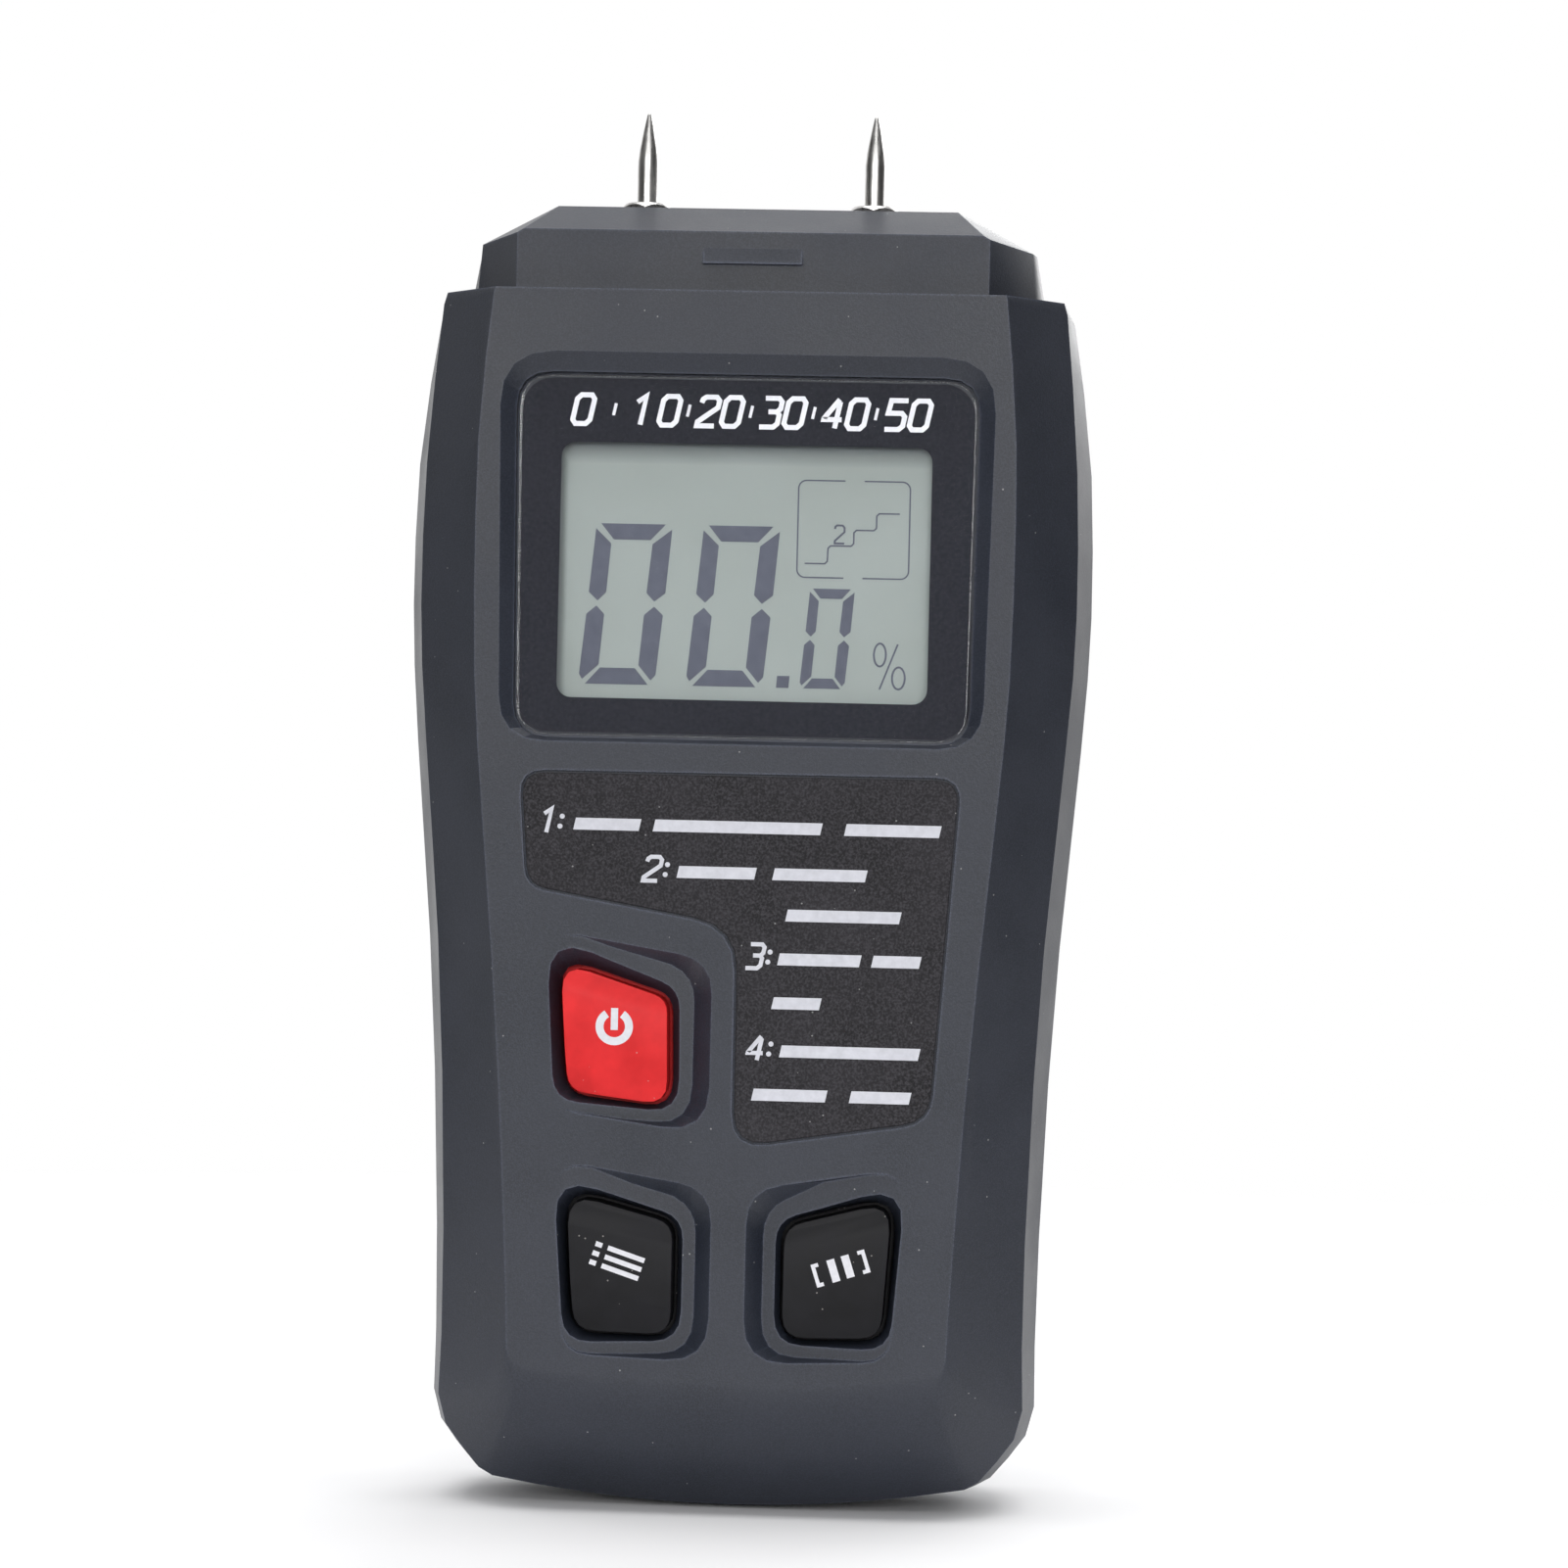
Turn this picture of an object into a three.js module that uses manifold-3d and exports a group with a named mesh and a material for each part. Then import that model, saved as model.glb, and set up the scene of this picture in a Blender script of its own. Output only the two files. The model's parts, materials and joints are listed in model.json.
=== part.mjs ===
// A handheld two-pin moisture meter for wood, as the pieces it comes apart into.
// Millimetres. The meter stands on its lower edge: +Z runs up to the pins, the display faces -Y,
// and the origin is under the middle of the case.
import * as THREE from "three";
import { mergeVertices } from "three/addons/utils/BufferGeometryUtils.js";
import Module from "manifold-3d";

const wasm = await Module();
wasm.setup();

// ---------- driving dimensions ----------
const GAP = 0.3; // running clearance between neighbouring pieces
const WALL = 2; // wall of both shells
const HEAD_WALL = 2.5; // wall of the head, which carries the pins

const FRONT_Y = -15; // face of the display panel
const FRONT_EDGE_Y = -7.5; // where the front side bevel meets the side wall
const PARTING_Y = -1.85; // middle of the seam, and the plane of the pins
const REAR_EDGE_Y = 8.5; // where the side wall meets the rear bevel
const BACK_Y = 15; // flat of the back

const SHOULDER_Z = 123; // top of the body, foot of the head
const HEAD_TOP_Z = 132.2;
const HEAD_FRONT_Y = -12.25;
const HEAD_BACK_Y = 12.25;
const FOOT_RADIUS = 132; // curve of the lower edge

// Half widths of the body, from the lower corner to the shoulder, as [x, z].
const WIDEST_SIDE = [
  [30.9, 10.6], [30.9, 24], [31.9, 50], [33.5, 70], [34.6, 84], [34.9, 95], [34.4, 108], [32.55, 121.2],
];
const EDGE_SIDE = [
  [29.75, 10.8], [29.55, 24], [30.4, 50], [31.9, 70], [33.1, 84], [33.4, 95], [33, 108], [31.75, 121.8],
];
const PANEL_SIDE = [
  [22.05, 16.5], [22.45, 26], [23.8, 48], [25.75, 70], [26.8, 83], [27.1, 97], [26.9, 110], [25.75, 122.6],
];
const BACK_SIDE = [
  [24.3, 9.5], [24.3, 24], [25.1, 50], [26.6, 70], [27.5, 84], [27.8, 95], [27.4, 108], [26.2, 122],
];

// Faces let into the front, as [x, z, corner radius].
const LENS_CORNERS = [
  [-22.65, 78.2, 3.2], [22.65, 78.2, 3.2], [23.05, 114.35, 3.3], [-23.05, 114.35, 3.3],
];
const BEZEL_CORNERS = [
  [-24.3, 77.5, 4.6], [24.3, 77.5, 4.6], [25, 116.7, 5.5], [-25, 116.7, 5.5],
];
const LENS_Y = -14.15; // face of the lens
const LENS_THICKNESS = 1.2;
const WINDOW = { halfWidth: 19.2, low: 81.2, high: 108.2, corner: 1.6 };

const LABEL_CORNERS = [
  [0.1, 37, 3.2], [20, 40.1, 3.6], [22.35, 74.65, 2.4],
  [-22.1, 74.55, 2.4], [-21.2, 62.8, 2.6], [0, 59.2, 5.2],
];
const LABEL_DEPTH = 0.55;

// Each key: its cap, the mouth of its hole, the lip round the hole, and the dished surround.
const POWER_KEY = {
  cap: [[-16.55, 42.35, 2.2], [-6.45, 41.2, 2.2], [-6.7, 51.85, 2], [-17.45, 55.3, 2]],
  mouth: [[-17.9, 41.5, 3], [-4.4, 40, 3.2], [-4.6, 53.75, 3.2], [-18.95, 57.95, 3.4]],
  lip: [[-18, 40.7, 3], [-4.3, 39.3, 3.6], [-4.25, 54.1, 3.6], [-19, 58.9, 3]],
  dish: [[-18, 40.6, 3], [-2.2, 38.4, 4.2], [-2.2, 55.9, 4], [-19, 58.6, 3]],
};
const MODE_KEY = {
  cap: [[-15.45, 18.3, 2.3], [-5.6, 18.15, 2.3], [-5.6, 29.35, 2.3], [-16.35, 32.15, 2.3]],
  mouth: [[-16.4, 17.2, 3], [-3.9, 17.1, 3.2], [-3.9, 30.2, 3.2], [-17.7, 34, 3.2]],
  lip: [[-16.4, 16.5, 3], [-3.5, 16.35, 3.6], [-3.5, 30.8, 3.6], [-17.7, 35.9, 3]],
  dish: [[-16.4, 16.1, 3], [-1.75, 15.6, 4.2], [-1.75, 33, 4], [-17.7, 35.5, 3]],
};
const DISH_DEPTH = 1.7; // at its deep side, toward the middle of the meter
const COLLAR_Y = -11.2; // inner end of the collar behind each key hole
const KEY_CREST_Y = -15.05;
const KEY_TRAVEL = 0.8;
const KEY_FLANGE = 0.9; // how far the flange of a key reaches past its hole
const DOME_FOOT_Y = -8.95;
const MAT_THICKNESS = 0.5;

const BOARD_Y = -8; // face of the circuit board
const BOARD_THICKNESS = 1.4;
const GLASS_Y = -11.5; // face of the LCD glass
const GLASS_THICKNESS = 2;

const BATTERY = { width: 26.5, depth: 17.5, height: 45.8, frontY: -5, footZ: 18 };
const DOOR = { halfWidth: 16, low: 14.5, high: 75, innerY: 13.4 };
const DOOR_TAB_X = 9;

const PIN_X = 11.7;
const PIN_RADIUS = 1.04;
const PIN_TIP_Z = 142.3;
const CASE_SCREWS = [[-21.5, 117.2], [21.5, 117.2], [-20.5, 10.2], [20.5, 10.2]];
const BOARD_SCREWS = [[-20.8, 65], [20.8, 65], [-19.5, 35.5], [19.5, 35.5]];

// ---------- solids ----------
const vec2 = (x, y) => new THREE.Vector2(x, y);
const vec3 = (x, y, z) => new THREE.Vector3(x, y, z);

function toSolid(geometry) {
  const plain = geometry.clone();
  plain.deleteAttribute("normal");
  plain.deleteAttribute("uv");
  const merged = mergeVertices(plain, 1e-4);
  return new wasm.Manifold(
    new wasm.Mesh({
      numProp: 3,
      vertProperties: new Float32Array(merged.attributes.position.array),
      triVerts: new Uint32Array(merged.index.array),
    }),
  );
}

function toGeometry(solid) {
  const mesh = solid.getMesh();
  const geometry = new THREE.BufferGeometry();
  geometry.setAttribute("position", new THREE.BufferAttribute(new Float32Array(mesh.vertProperties), 3));
  geometry.setIndex(new THREE.BufferAttribute(new Uint32Array(mesh.triVerts), 1));
  geometry.computeVertexNormals();
  return geometry;
}

const join = (...solids) => solids.reduce((all, solid) => all.add(solid));
const cut = (solid, ...tools) => tools.reduce((left, tool) => left.subtract(tool), solid);

function box([x0, x1], [y0, y1], [z0, z1]) {
  const geometry = new THREE.BoxGeometry(x1 - x0, y1 - y0, z1 - z0);
  geometry.translate((x0 + x1) / 2, (y0 + y1) / 2, (z0 + z1) / 2);
  return toSolid(geometry);
}

function extrusion(points, length) {
  const options = { depth: length, bevelEnabled: false, steps: 1 };
  return new THREE.ExtrudeGeometry(new THREE.Shape(points), options);
}

// An outline in X and Z, extruded from y0 back to y1.
function extrudeY(points, y0, y1) {
  const geometry = extrusion(points, y1 - y0);
  geometry.rotateX(Math.PI / 2);
  geometry.translate(0, y1, 0);
  return toSolid(geometry);
}

// An outline in Y and Z, extruded from x0 to x1.
function extrudeX(points, x0, x1) {
  const geometry = extrusion(points, x1 - x0);
  geometry.applyMatrix4(new THREE.Matrix4().makeBasis(vec3(0, 1, 0), vec3(0, 0, 1), vec3(1, 0, 0)));
  geometry.translate(x0, 0, 0);
  return toSolid(geometry);
}

// An outline in X and Y, extruded from z0 up to z1.
function extrudeZ(points, z0, z1) {
  const geometry = extrusion(points, z1 - z0);
  geometry.translate(0, 0, z0);
  return toSolid(geometry);
}

// A round bar along Y.
function barY(x, z, radius, y0, y1, segments = 20) {
  const geometry = new THREE.CylinderGeometry(radius, radius, y1 - y0, segments);
  geometry.translate(x, (y0 + y1) / 2, z);
  return toSolid(geometry);
}

// A profile of [radius, z] pairs turned about a vertical axis; it starts and ends on the axis.
function turned(profile, x, y, segments = 20) {
  const geometry = new THREE.LatheGeometry(profile.map(([r, z]) => vec2(r, z)), segments);
  geometry.rotateX(Math.PI / 2);
  geometry.translate(x, y, 0);
  return toSolid(geometry);
}

function tube(points, radius, steps, sides = 8) {
  const section = Array.from({ length: sides }, (_, i) => {
    const angle = (2 * Math.PI * i) / sides;
    return vec2(radius * Math.cos(angle), radius * Math.sin(angle));
  });
  const path = new THREE.CatmullRomCurve3(points.map(([x, y, z]) => vec3(x, y, z)));
  const options = { steps, bevelEnabled: false, extrudePath: path };
  return new THREE.ExtrudeGeometry(new THREE.Shape(section), options);
}

// A regular hexagon in X and Y with the given distance across its flats and a corner toward the front.
function hexagon(x, y, acrossFlats) {
  const radius = acrossFlats / Math.sqrt(3);
  return Array.from({ length: 6 }, (_, i) => {
    const angle = (Math.PI / 3) * i - Math.PI / 2;
    return vec2(x + radius * Math.cos(angle), y + radius * Math.sin(angle));
  });
}

// ---------- outlines ----------
// A polygon of [x, z, radius] corners, counter-clockwise, with each corner rounded.
function rounded(corners, segments = 4) {
  const count = corners.length;
  return corners.flatMap(([x, z, radius], i) => {
    const corner = vec2(x, z);
    const before = vec2(...corners[(i + count - 1) % count]).sub(corner).normalize();
    const after = vec2(...corners[(i + 1) % count]).sub(corner).normalize();
    if (!radius) return [corner];
    const reach = radius / Math.tan(Math.acos(before.dot(after)) / 2);
    const start = corner.clone().addScaledVector(before, reach);
    const end = corner.clone().addScaledVector(after, reach);
    return new THREE.QuadraticBezierCurve(start, corner, end).getPoints(segments);
  });
}

// The same corners moved outward by a distance, or inward where it is negative.
function offset(corners, distance) {
  const count = corners.length;
  return corners.map(([x, z, radius], i) => {
    const corner = vec2(x, z);
    const before = corner.clone().sub(vec2(...corners[(i + count - 1) % count])).normalize();
    const after = vec2(...corners[(i + 1) % count]).sub(corner).normalize();
    const n1 = vec2(before.y, -before.x);
    const n2 = vec2(after.y, -after.x);
    const move = n1.clone().add(n2).multiplyScalar(distance / (1 + n1.dot(n2)));
    const convex = before.cross(after) > 0 ? 1 : -1;
    return [x + move.x, z + move.y, Math.max(radius + convex * distance, 0.3)];
  });
}

const mirrored = (corners) => corners.map(([x, z, radius]) => [-x, z, radius]).reverse();

function rectangle(halfWidth, low, high, corner) {
  return [
    [-halfWidth, low, corner], [halfWidth, low, corner],
    [halfWidth, high, corner], [-halfWidth, high, corner],
  ];
}

const FOOT_STEPS = 5;
const SIDE_STEPS = 12;
// The cut lower corner, as steps in x and z from the first side point.
const CORNER = [[-5.7, -8.2], [-4.3, -7.4], [-2.5, -5.3], [-0.8, -3]];

// Half an outline of the body, from the middle of the foot round to the end of the shoulder.
// cornerSize scales the cut lower corner, inset moves the whole outline inward.
function bodyHalf({ side, cornerSize = 1, shoulderX, inset = 0 }) {
  const sidePoints = side.map(([x, z], i) => vec2(x - inset, i ? z : z + inset));
  const first = sidePoints[0];
  const corner = CORNER.map(([dx, dz]) => vec2(first.x + dx * cornerSize, first.y + dz * cornerSize));
  const footX = corner[0].x;
  const footZ = corner[0].y - footX ** 2 / (2 * FOOT_RADIUS);
  const foot = Array.from({ length: FOOT_STEPS }, (_, i) => {
    const x = (footX * i) / FOOT_STEPS;
    return vec2(x, footZ + x ** 2 / (2 * FOOT_RADIUS));
  });
  const last = sidePoints.at(-1);
  last.y = Math.min(last.y, SHOULDER_Z - inset - 0.4);
  const flank = new THREE.SplineCurve(sidePoints).getPoints(SIDE_STEPS);
  const top = SHOULDER_Z - inset;
  return [...foot, ...corner, ...flank, vec2(shoulderX - inset, top)];
}

// The head's half outline: a block with its upper corner cut from topX down to cornerZ.
function headHalf({ footX, cornerX, cornerZ, topX, topZ, inset = 0 }) {
  return [
    vec2(footX - inset, SHOULDER_Z - 5),
    vec2(cornerX - inset, cornerZ - inset),
    vec2(topX - inset, topZ - inset),
  ];
}

const whole = (half) => [...half, ...half.filter((p) => p.x > 0).reverse().map((p) => vec2(-p.x, p.y))];

// Points part of the way from one outline to another: across by t in X, and by rise in Z.
const between = (from, to, t, rise = t) =>
  from.map((p, i) => vec2(p.x + (to[i].x - p.x) * t, p.y + (to[i].y - p.y) * rise));

// A solid through outlines with the same number of points, as [y, points] from front to back.
function loft(rings) {
  const count = rings[0][1].length;
  const position = rings.flatMap(([y, points]) => points.flatMap((p) => [p.x, y, p.y]));
  const index = [];
  for (let r = 0; r + 1 < rings.length; r++) {
    for (let i = 0; i < count; i++) {
      const [a, b] = [r * count + i, r * count + ((i + 1) % count)];
      const [c, d] = [b + count, a + count];
      index.push(a, d, b, b, d, c);
    }
  }
  const lastRing = (rings.length - 1) * count;
  for (const [a, b, c] of THREE.ShapeUtils.triangulateShape(rings[0][1], [])) index.push(a, b, c);
  for (const [a, b, c] of THREE.ShapeUtils.triangulateShape(rings.at(-1)[1], [])) {
    index.push(lastRing + a, lastRing + c, lastRing + b);
  }
  const geometry = new THREE.BufferGeometry();
  geometry.setAttribute("position", new THREE.Float32BufferAttribute(position, 3));
  geometry.setIndex(index);
  return toSolid(geometry);
}

// ---------- case ----------
const ROLL_STEPS = [0, 0.025, 0.08, 0.18, 0.36, 0.64, 1]; // shares of the bevel's depth
const ROLL_POWER = 0.58; // how the face rolls over into the foot bevel

// The front half of the body as a solid, or its hollow when inset is the wall.
function frontBody(inset, endY) {
  const panel = bodyHalf({ side: PANEL_SIDE, cornerSize: 0.2, shoulderX: 25.6, inset: inset * 0.6 });
  const edge = bodyHalf({ side: EDGE_SIDE, shoulderX: 31.4, inset });
  const widest = bodyHalf({ side: WIDEST_SIDE, shoulderX: 31.4, inset });
  const face = FRONT_Y + inset;
  const steps = inset ? ROLL_STEPS.filter((_, i) => i % 2 === 0) : ROLL_STEPS;
  const depthAt = (t) => face + (FRONT_EDGE_Y - face) * t;
  const rings = steps.map((t) => [depthAt(t), between(panel, edge, t, t ** ROLL_POWER)]);
  return loft([...rings, [endY, widest]].map(([y, half]) => [y, whole(half)]));
}

function rearBody(inset, startY) {
  const widest = bodyHalf({ side: WIDEST_SIDE, shoulderX: 31.4, inset });
  const edge = bodyHalf({ side: WIDEST_SIDE.map(([x, z]) => [x - 0.7, z]), shoulderX: 30.7, inset });
  const back = bodyHalf({ side: BACK_SIDE, cornerSize: 0.6, shoulderX: 25.5, inset: inset * 0.6 });
  const face = BACK_Y - inset;
  const rings = [0, 0.4, 0.75, 1].map((t) => [
    REAR_EDGE_Y + (face - REAR_EDGE_Y) * t, between(edge, back, t, t ** (1 / ROLL_POWER)),
  ]);
  return loft([[startY, widest], ...rings].map(([y, half]) => [y, whole(half)]));
}

const HEAD_FACE = { footX: 23.85, cornerX: 23.85, cornerZ: 128.8, topX: 23.2, topZ: 129.2 };
const HEAD_EDGE = { footX: 28.9, cornerX: 28.1, cornerZ: 128.1, topX: 20.4, topZ: HEAD_TOP_Z };
const HEAD_WIDEST = { footX: 30.3, cornerX: 28.5, cornerZ: 128.2, topX: 20.6, topZ: HEAD_TOP_Z };
const HEAD_EDGE_DEPTH = 6.25; // of the head's front and rear bevels

function headHalfSolid(faceY, seamY, inset) {
  const toward = Math.sign(seamY - faceY);
  const ring = (size) => whole(headHalf({ ...size, inset }));
  const face = faceY + toward * inset;
  const rings = [
    [face, ring(HEAD_FACE)],
    [faceY + toward * HEAD_EDGE_DEPTH, ring(HEAD_EDGE)],
    [seamY, ring(HEAD_WIDEST)],
  ];
  return loft(toward > 0 ? rings : rings.reverse());
}

// The wedge that a cap would snap over, on the front and back of the head.
function snapWedge(faceY) {
  const out = Math.sign(faceY) * 0.75;
  const profile = [
    vec2(faceY - out, 125.4), vec2(faceY, 125.9), vec2(faceY + out, 125.9), vec2(faceY, 127.5),
    vec2(faceY - out, 127.9),
  ];
  return extrudeX(faceY < 0 ? profile.reverse() : profile, -5, 5);
}

// The holes that the pin sockets sit in; the seam splits them, so each shell holds half.
function socketSeats() {
  return [-PIN_X, PIN_X].map((x) =>
    turned([[0, 125], [2.1, 125], [2.1, 131.7], [3.4, 131.7], [3.4, 134], [0, 134]], x, PARTING_Y),
  );
}

function keyCuts({ mouth, lip, dish, cap }, side) {
  const slope = DISH_DEPTH / 13;
  const start = 17.2;
  const reach = 19.2;
  const wedge = [
    vec2(-start, FRONT_Y - 1),
    vec2(reach - start, FRONT_Y - 1),
    vec2(reach - start, FRONT_Y + reach * slope),
    vec2(-start, FRONT_Y),
  ].map((p) => vec2(p.x * side, p.y));
  const ringOf = (corners) => rounded(side > 0 ? corners : mirrored(corners));
  const hollow = loft([[FRONT_Y - 0.02, ringOf(dish)], [FRONT_Y + DISH_DEPTH + 0.2, ringOf(lip)]]);
  const slanted = extrudeZ(side > 0 ? wedge : wedge.reverse(), 10, 62);
  const hole = ringOf(offset(cap, 0.42));
  return [
    hollow.intersect(slanted),
    loft([[FRONT_Y - 0.02, ringOf(mouth)], [FRONT_Y + 2.7, hole], [COLLAR_Y + 1, hole]]),
  ];
}

const KEYS = [
  { name: "power", shape: POWER_KEY, side: 1, tilt: -0.27, color: 0xdd2429 },
  { name: "mode", shape: MODE_KEY, side: 1, tilt: -0.24, color: 0x27262a },
  { name: "hold", shape: MODE_KEY, side: -1, tilt: 0.24, color: 0x27262a },
];
const cornersOf = (key, corners) => (key.side > 0 ? corners : mirrored(corners));

const BOSS_RADIUS = 3;
const PILOT_RADIUS = 1.1;
const HEAD_SEAT_Y = 6; // floor of the screw counterbores in the rear shell

function frontShell() {
  const seam = PARTING_Y - GAP / 2;
  const outer = join(frontBody(0, seam), headHalfSolid(HEAD_FRONT_Y, seam, 0), snapWedge(HEAD_FRONT_Y));
  const hollow = join(frontBody(WALL, seam + 0.01), headHalfSolid(HEAD_FRONT_Y, seam + 0.01, HEAD_WALL));
  const lensPad = extrudeY(rounded(offset(LENS_CORNERS, 1.2)), FRONT_Y + WALL - 0.4, GLASS_Y - GAP);
  const collars = KEYS.map((key) =>
    extrudeY(rounded(cornersOf(key, offset(key.shape.lip, 1))), FRONT_Y + WALL - 0.4, COLLAR_Y),
  );
  const bosses = [
    ...CASE_SCREWS.map(([x, z]) => barY(x, z, BOSS_RADIUS, -12.5, HEAD_SEAT_Y - 3 - GAP)),
    ...BOARD_SCREWS.map(([x, z]) => barY(x, z, 2.2, -13.5, BOARD_Y - GAP, 16)),
  ];
  const inside = join(lensPad, ...collars, ...bosses).intersect(frontBody(0.8, HEAD_SEAT_Y));
  const bezel = loft([
    [FRONT_Y - 0.02, rounded(BEZEL_CORNERS)],
    [LENS_Y + 0.05, rounded(offset(LENS_CORNERS, 0.3))],
    [LENS_Y + LENS_THICKNESS + GAP, rounded(offset(LENS_CORNERS, 0.3))],
  ]);
  const { halfWidth, low, high, corner } = WINDOW;
  return cut(
    join(cut(outer, hollow), inside),
    bezel,
    extrudeY(rounded(rectangle(halfWidth, low, high, corner)), FRONT_Y, GLASS_Y),
    extrudeY(rounded(LABEL_CORNERS), FRONT_Y - 1, FRONT_Y + LABEL_DEPTH),
    ...KEYS.flatMap((key) => keyCuts(key.shape, key.side)),
    ...CASE_SCREWS.map(([x, z]) => barY(x, z, PILOT_RADIUS, -9, HEAD_SEAT_Y, 12)),
    ...BOARD_SCREWS.map(([x, z]) => barY(x, z, 0.85, -12.2, BOARD_Y, 10)),
    ...socketSeats(),
  );
}

// The tongue of the rear shell, which reaches across the seam inside the front shell's wall.
function seamTongue(seam) {
  const seamBlock = (bodyInset, headInset, y0, y1) => {
    const body = whole(bodyHalf({ side: WIDEST_SIDE, shoulderX: 31.4, inset: bodyInset }));
    const head = whole(headHalf({ ...HEAD_WIDEST, inset: headInset }));
    return join(extrudeY(body, y0, y1), extrudeY(head, y0, y1));
  };
  const [tip, root] = [PARTING_Y - 1.4, seam + 1.4];
  const draft = 0.4; // the front shell's wall leans in this much over the tongue's reach
  const [bodyClear, headClear] = [WALL + GAP + draft, HEAD_WALL + GAP + draft];
  const tongue = seamBlock(bodyClear, headClear, tip, root);
  const foot = seamBlock(bodyClear - 1.2, headClear - 1.2, seam, root);
  const clearance = [[0, 118], [3.3, 118], [3.3, 129.7], [0, 129.7]]; // round each socket's inner flange
  const flanges = [-PIN_X, PIN_X].map((x) => turned(clearance, x, PARTING_Y, 16));
  const inner = seamBlock(bodyClear + 1, headClear + 1, tip - 1, root + 1);
  return cut(join(tongue, foot), inner, ...flanges);
}

function rearShell() {
  const seam = PARTING_Y + GAP / 2;
  const outer = join(rearBody(0, seam), headHalfSolid(HEAD_BACK_Y, seam, 0), snapWedge(HEAD_BACK_Y));
  const hollow = join(rearBody(WALL, seam - 0.01), headHalfSolid(HEAD_BACK_Y, seam - 0.01, HEAD_WALL));
  const bayWall = 1.2;
  const bayX = BATTERY.width / 2 + 0.5;
  const [bayLow, bayHigh] = [BATTERY.footZ - 0.6, 74];
  const bayFloor = BATTERY.frontY - GAP;
  const trayX = bayX + bayWall;
  const tray = box([-trayX, trayX], [bayFloor - 0.9, 13.5], [bayLow - bayWall, bayHigh + bayWall]);
  const ledge = box([-17.8, 17.8], [11.4, 13.5], [12.2, 77]);
  const posts = CASE_SCREWS.map(([x, z]) => barY(x, z, 4, HEAD_SEAT_Y - 3, 14));
  const { halfWidth, low, high, innerY } = DOOR;
  const opening = offset(rectangle(halfWidth, low, high, 1.2), GAP);
  const pockets = [-DOOR_TAB_X, DOOR_TAB_X].map((x) => box([x - 2.6, x + 2.6], [11.7, 14], [12.9, 16.6]));
  const leadSlot = box([-4, 4], [bayFloor - 1.5, 4], [bayHigh - 0.5, bayHigh + 3]);
  return cut(
    join(cut(outer, hollow), seamTongue(seam), tray, ledge, ...posts),
    box([-bayX, bayX], [bayFloor, 14], [bayLow, bayHigh]),
    extrudeY(rounded(opening), innerY - GAP, BACK_Y + 1),
    box([-6.2, 6.2], [innerY - GAP - 1, BACK_Y + 1], [high - 0.9, high + 1.5]),
    ...pockets,
    leadSlot,
    ...CASE_SCREWS.map(([x, z]) => barY(x, z, 3.1, HEAD_SEAT_Y, BACK_Y + 1)),
    ...CASE_SCREWS.map(([x, z]) => barY(x, z, 1.75, 0, HEAD_SEAT_Y + 1, 16)),
    ...socketSeats(),
  );
}

// ---------- screws ----------
// A self-tapping screw driven forward, toward -Y, with a cross in its head.
function screw([x, z], seatY, headRadius, headHeight, shankRadius, length) {
  const profile = [
    [0, 0], [headRadius * 0.85, 0], [headRadius, headHeight * 0.3], [headRadius, headHeight],
    [shankRadius, headHeight], [shankRadius, headHeight + length - 1], [0.25, headHeight + length],
    [0, headHeight + length],
  ];
  const geometry = new THREE.LatheGeometry(profile.map(([r, h]) => vec2(r, h)), 16);
  const arm = headRadius * 0.62;
  const blade = headRadius * 0.14;
  const depth = headHeight * 0.55;
  const bars = [[arm, blade], [blade, arm]].map(([a, b]) => box([-a, a], [-1, depth], [-b, b]));
  const driven = toGeometry(cut(toSolid(geometry), ...bars));
  driven.rotateX(Math.PI);
  driven.translate(x, seatY + headHeight, z);
  return driven;
}

// ---------- keys ----------
const centreOf = (corners) => {
  const sum = corners.reduce((total, [x, z]) => total.add(vec2(x, z)), vec2(0, 0));
  return sum.divideScalar(corners.length);
};

// A cap with a flat band across its middle and facets that fall away above and below it, all parallel
// to its slanted top, and a flange that holds it in its hole.
function keyCap(key) {
  const cap = cornersOf(key, key.shape.cap);
  const centre = centreOf(cap);
  const facets = [
    vec2(COLLAR_Y, -9),
    vec2(KEY_CREST_Y + 1.75, -9),
    vec2(KEY_CREST_Y + 1.2, -6),
    vec2(KEY_CREST_Y, -2.1),
    vec2(KEY_CREST_Y, 3.4),
    vec2(KEY_CREST_Y + 0.75, 5.4),
    vec2(KEY_CREST_Y + 0.95, 9),
    vec2(COLLAR_Y, 9),
  ].reverse();
  const turn = (-key.tilt * 180) / Math.PI;
  const crown = extrudeX(facets, -12, 12).rotate([0, turn, 0]).translate([centre.x, 0, centre.y]);
  const stem = extrudeY(rounded(cap), KEY_CREST_Y - 1, COLLAR_Y + GAP + 0.7);
  const below = extrudeY(rounded(offset(cap, KEY_FLANGE)), COLLAR_Y + GAP, COLLAR_Y + GAP + 0.7);
  const above = extrudeY(rounded(cap), COLLAR_Y, COLLAR_Y + GAP + 0.1);
  return join(stem.intersect(crown), above, below);
}

const CAP_FOOT_Y = COLLAR_Y + GAP + 0.7;
const DOME_TOP = 3.2;
const DOME_FOOT = 4.6;

function keyDome(key) {
  const centre = centreOf(cornersOf(key, key.shape.cap));
  const skin = 0.35;
  const [low, high] = [0, DOME_FOOT_Y - GAP - CAP_FOOT_Y - GAP];
  const profile = [
    [DOME_FOOT - skin, low], [DOME_FOOT, low], [DOME_TOP, high], [DOME_TOP - skin, high],
    [DOME_FOOT - skin, low],
  ];
  const geometry = new THREE.LatheGeometry(profile.map(([r, h]) => vec2(r, h)), 20);
  geometry.rotateX(Math.PI);
  geometry.translate(centre.x, DOME_FOOT_Y - GAP, centre.y);
  return geometry;
}

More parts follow.
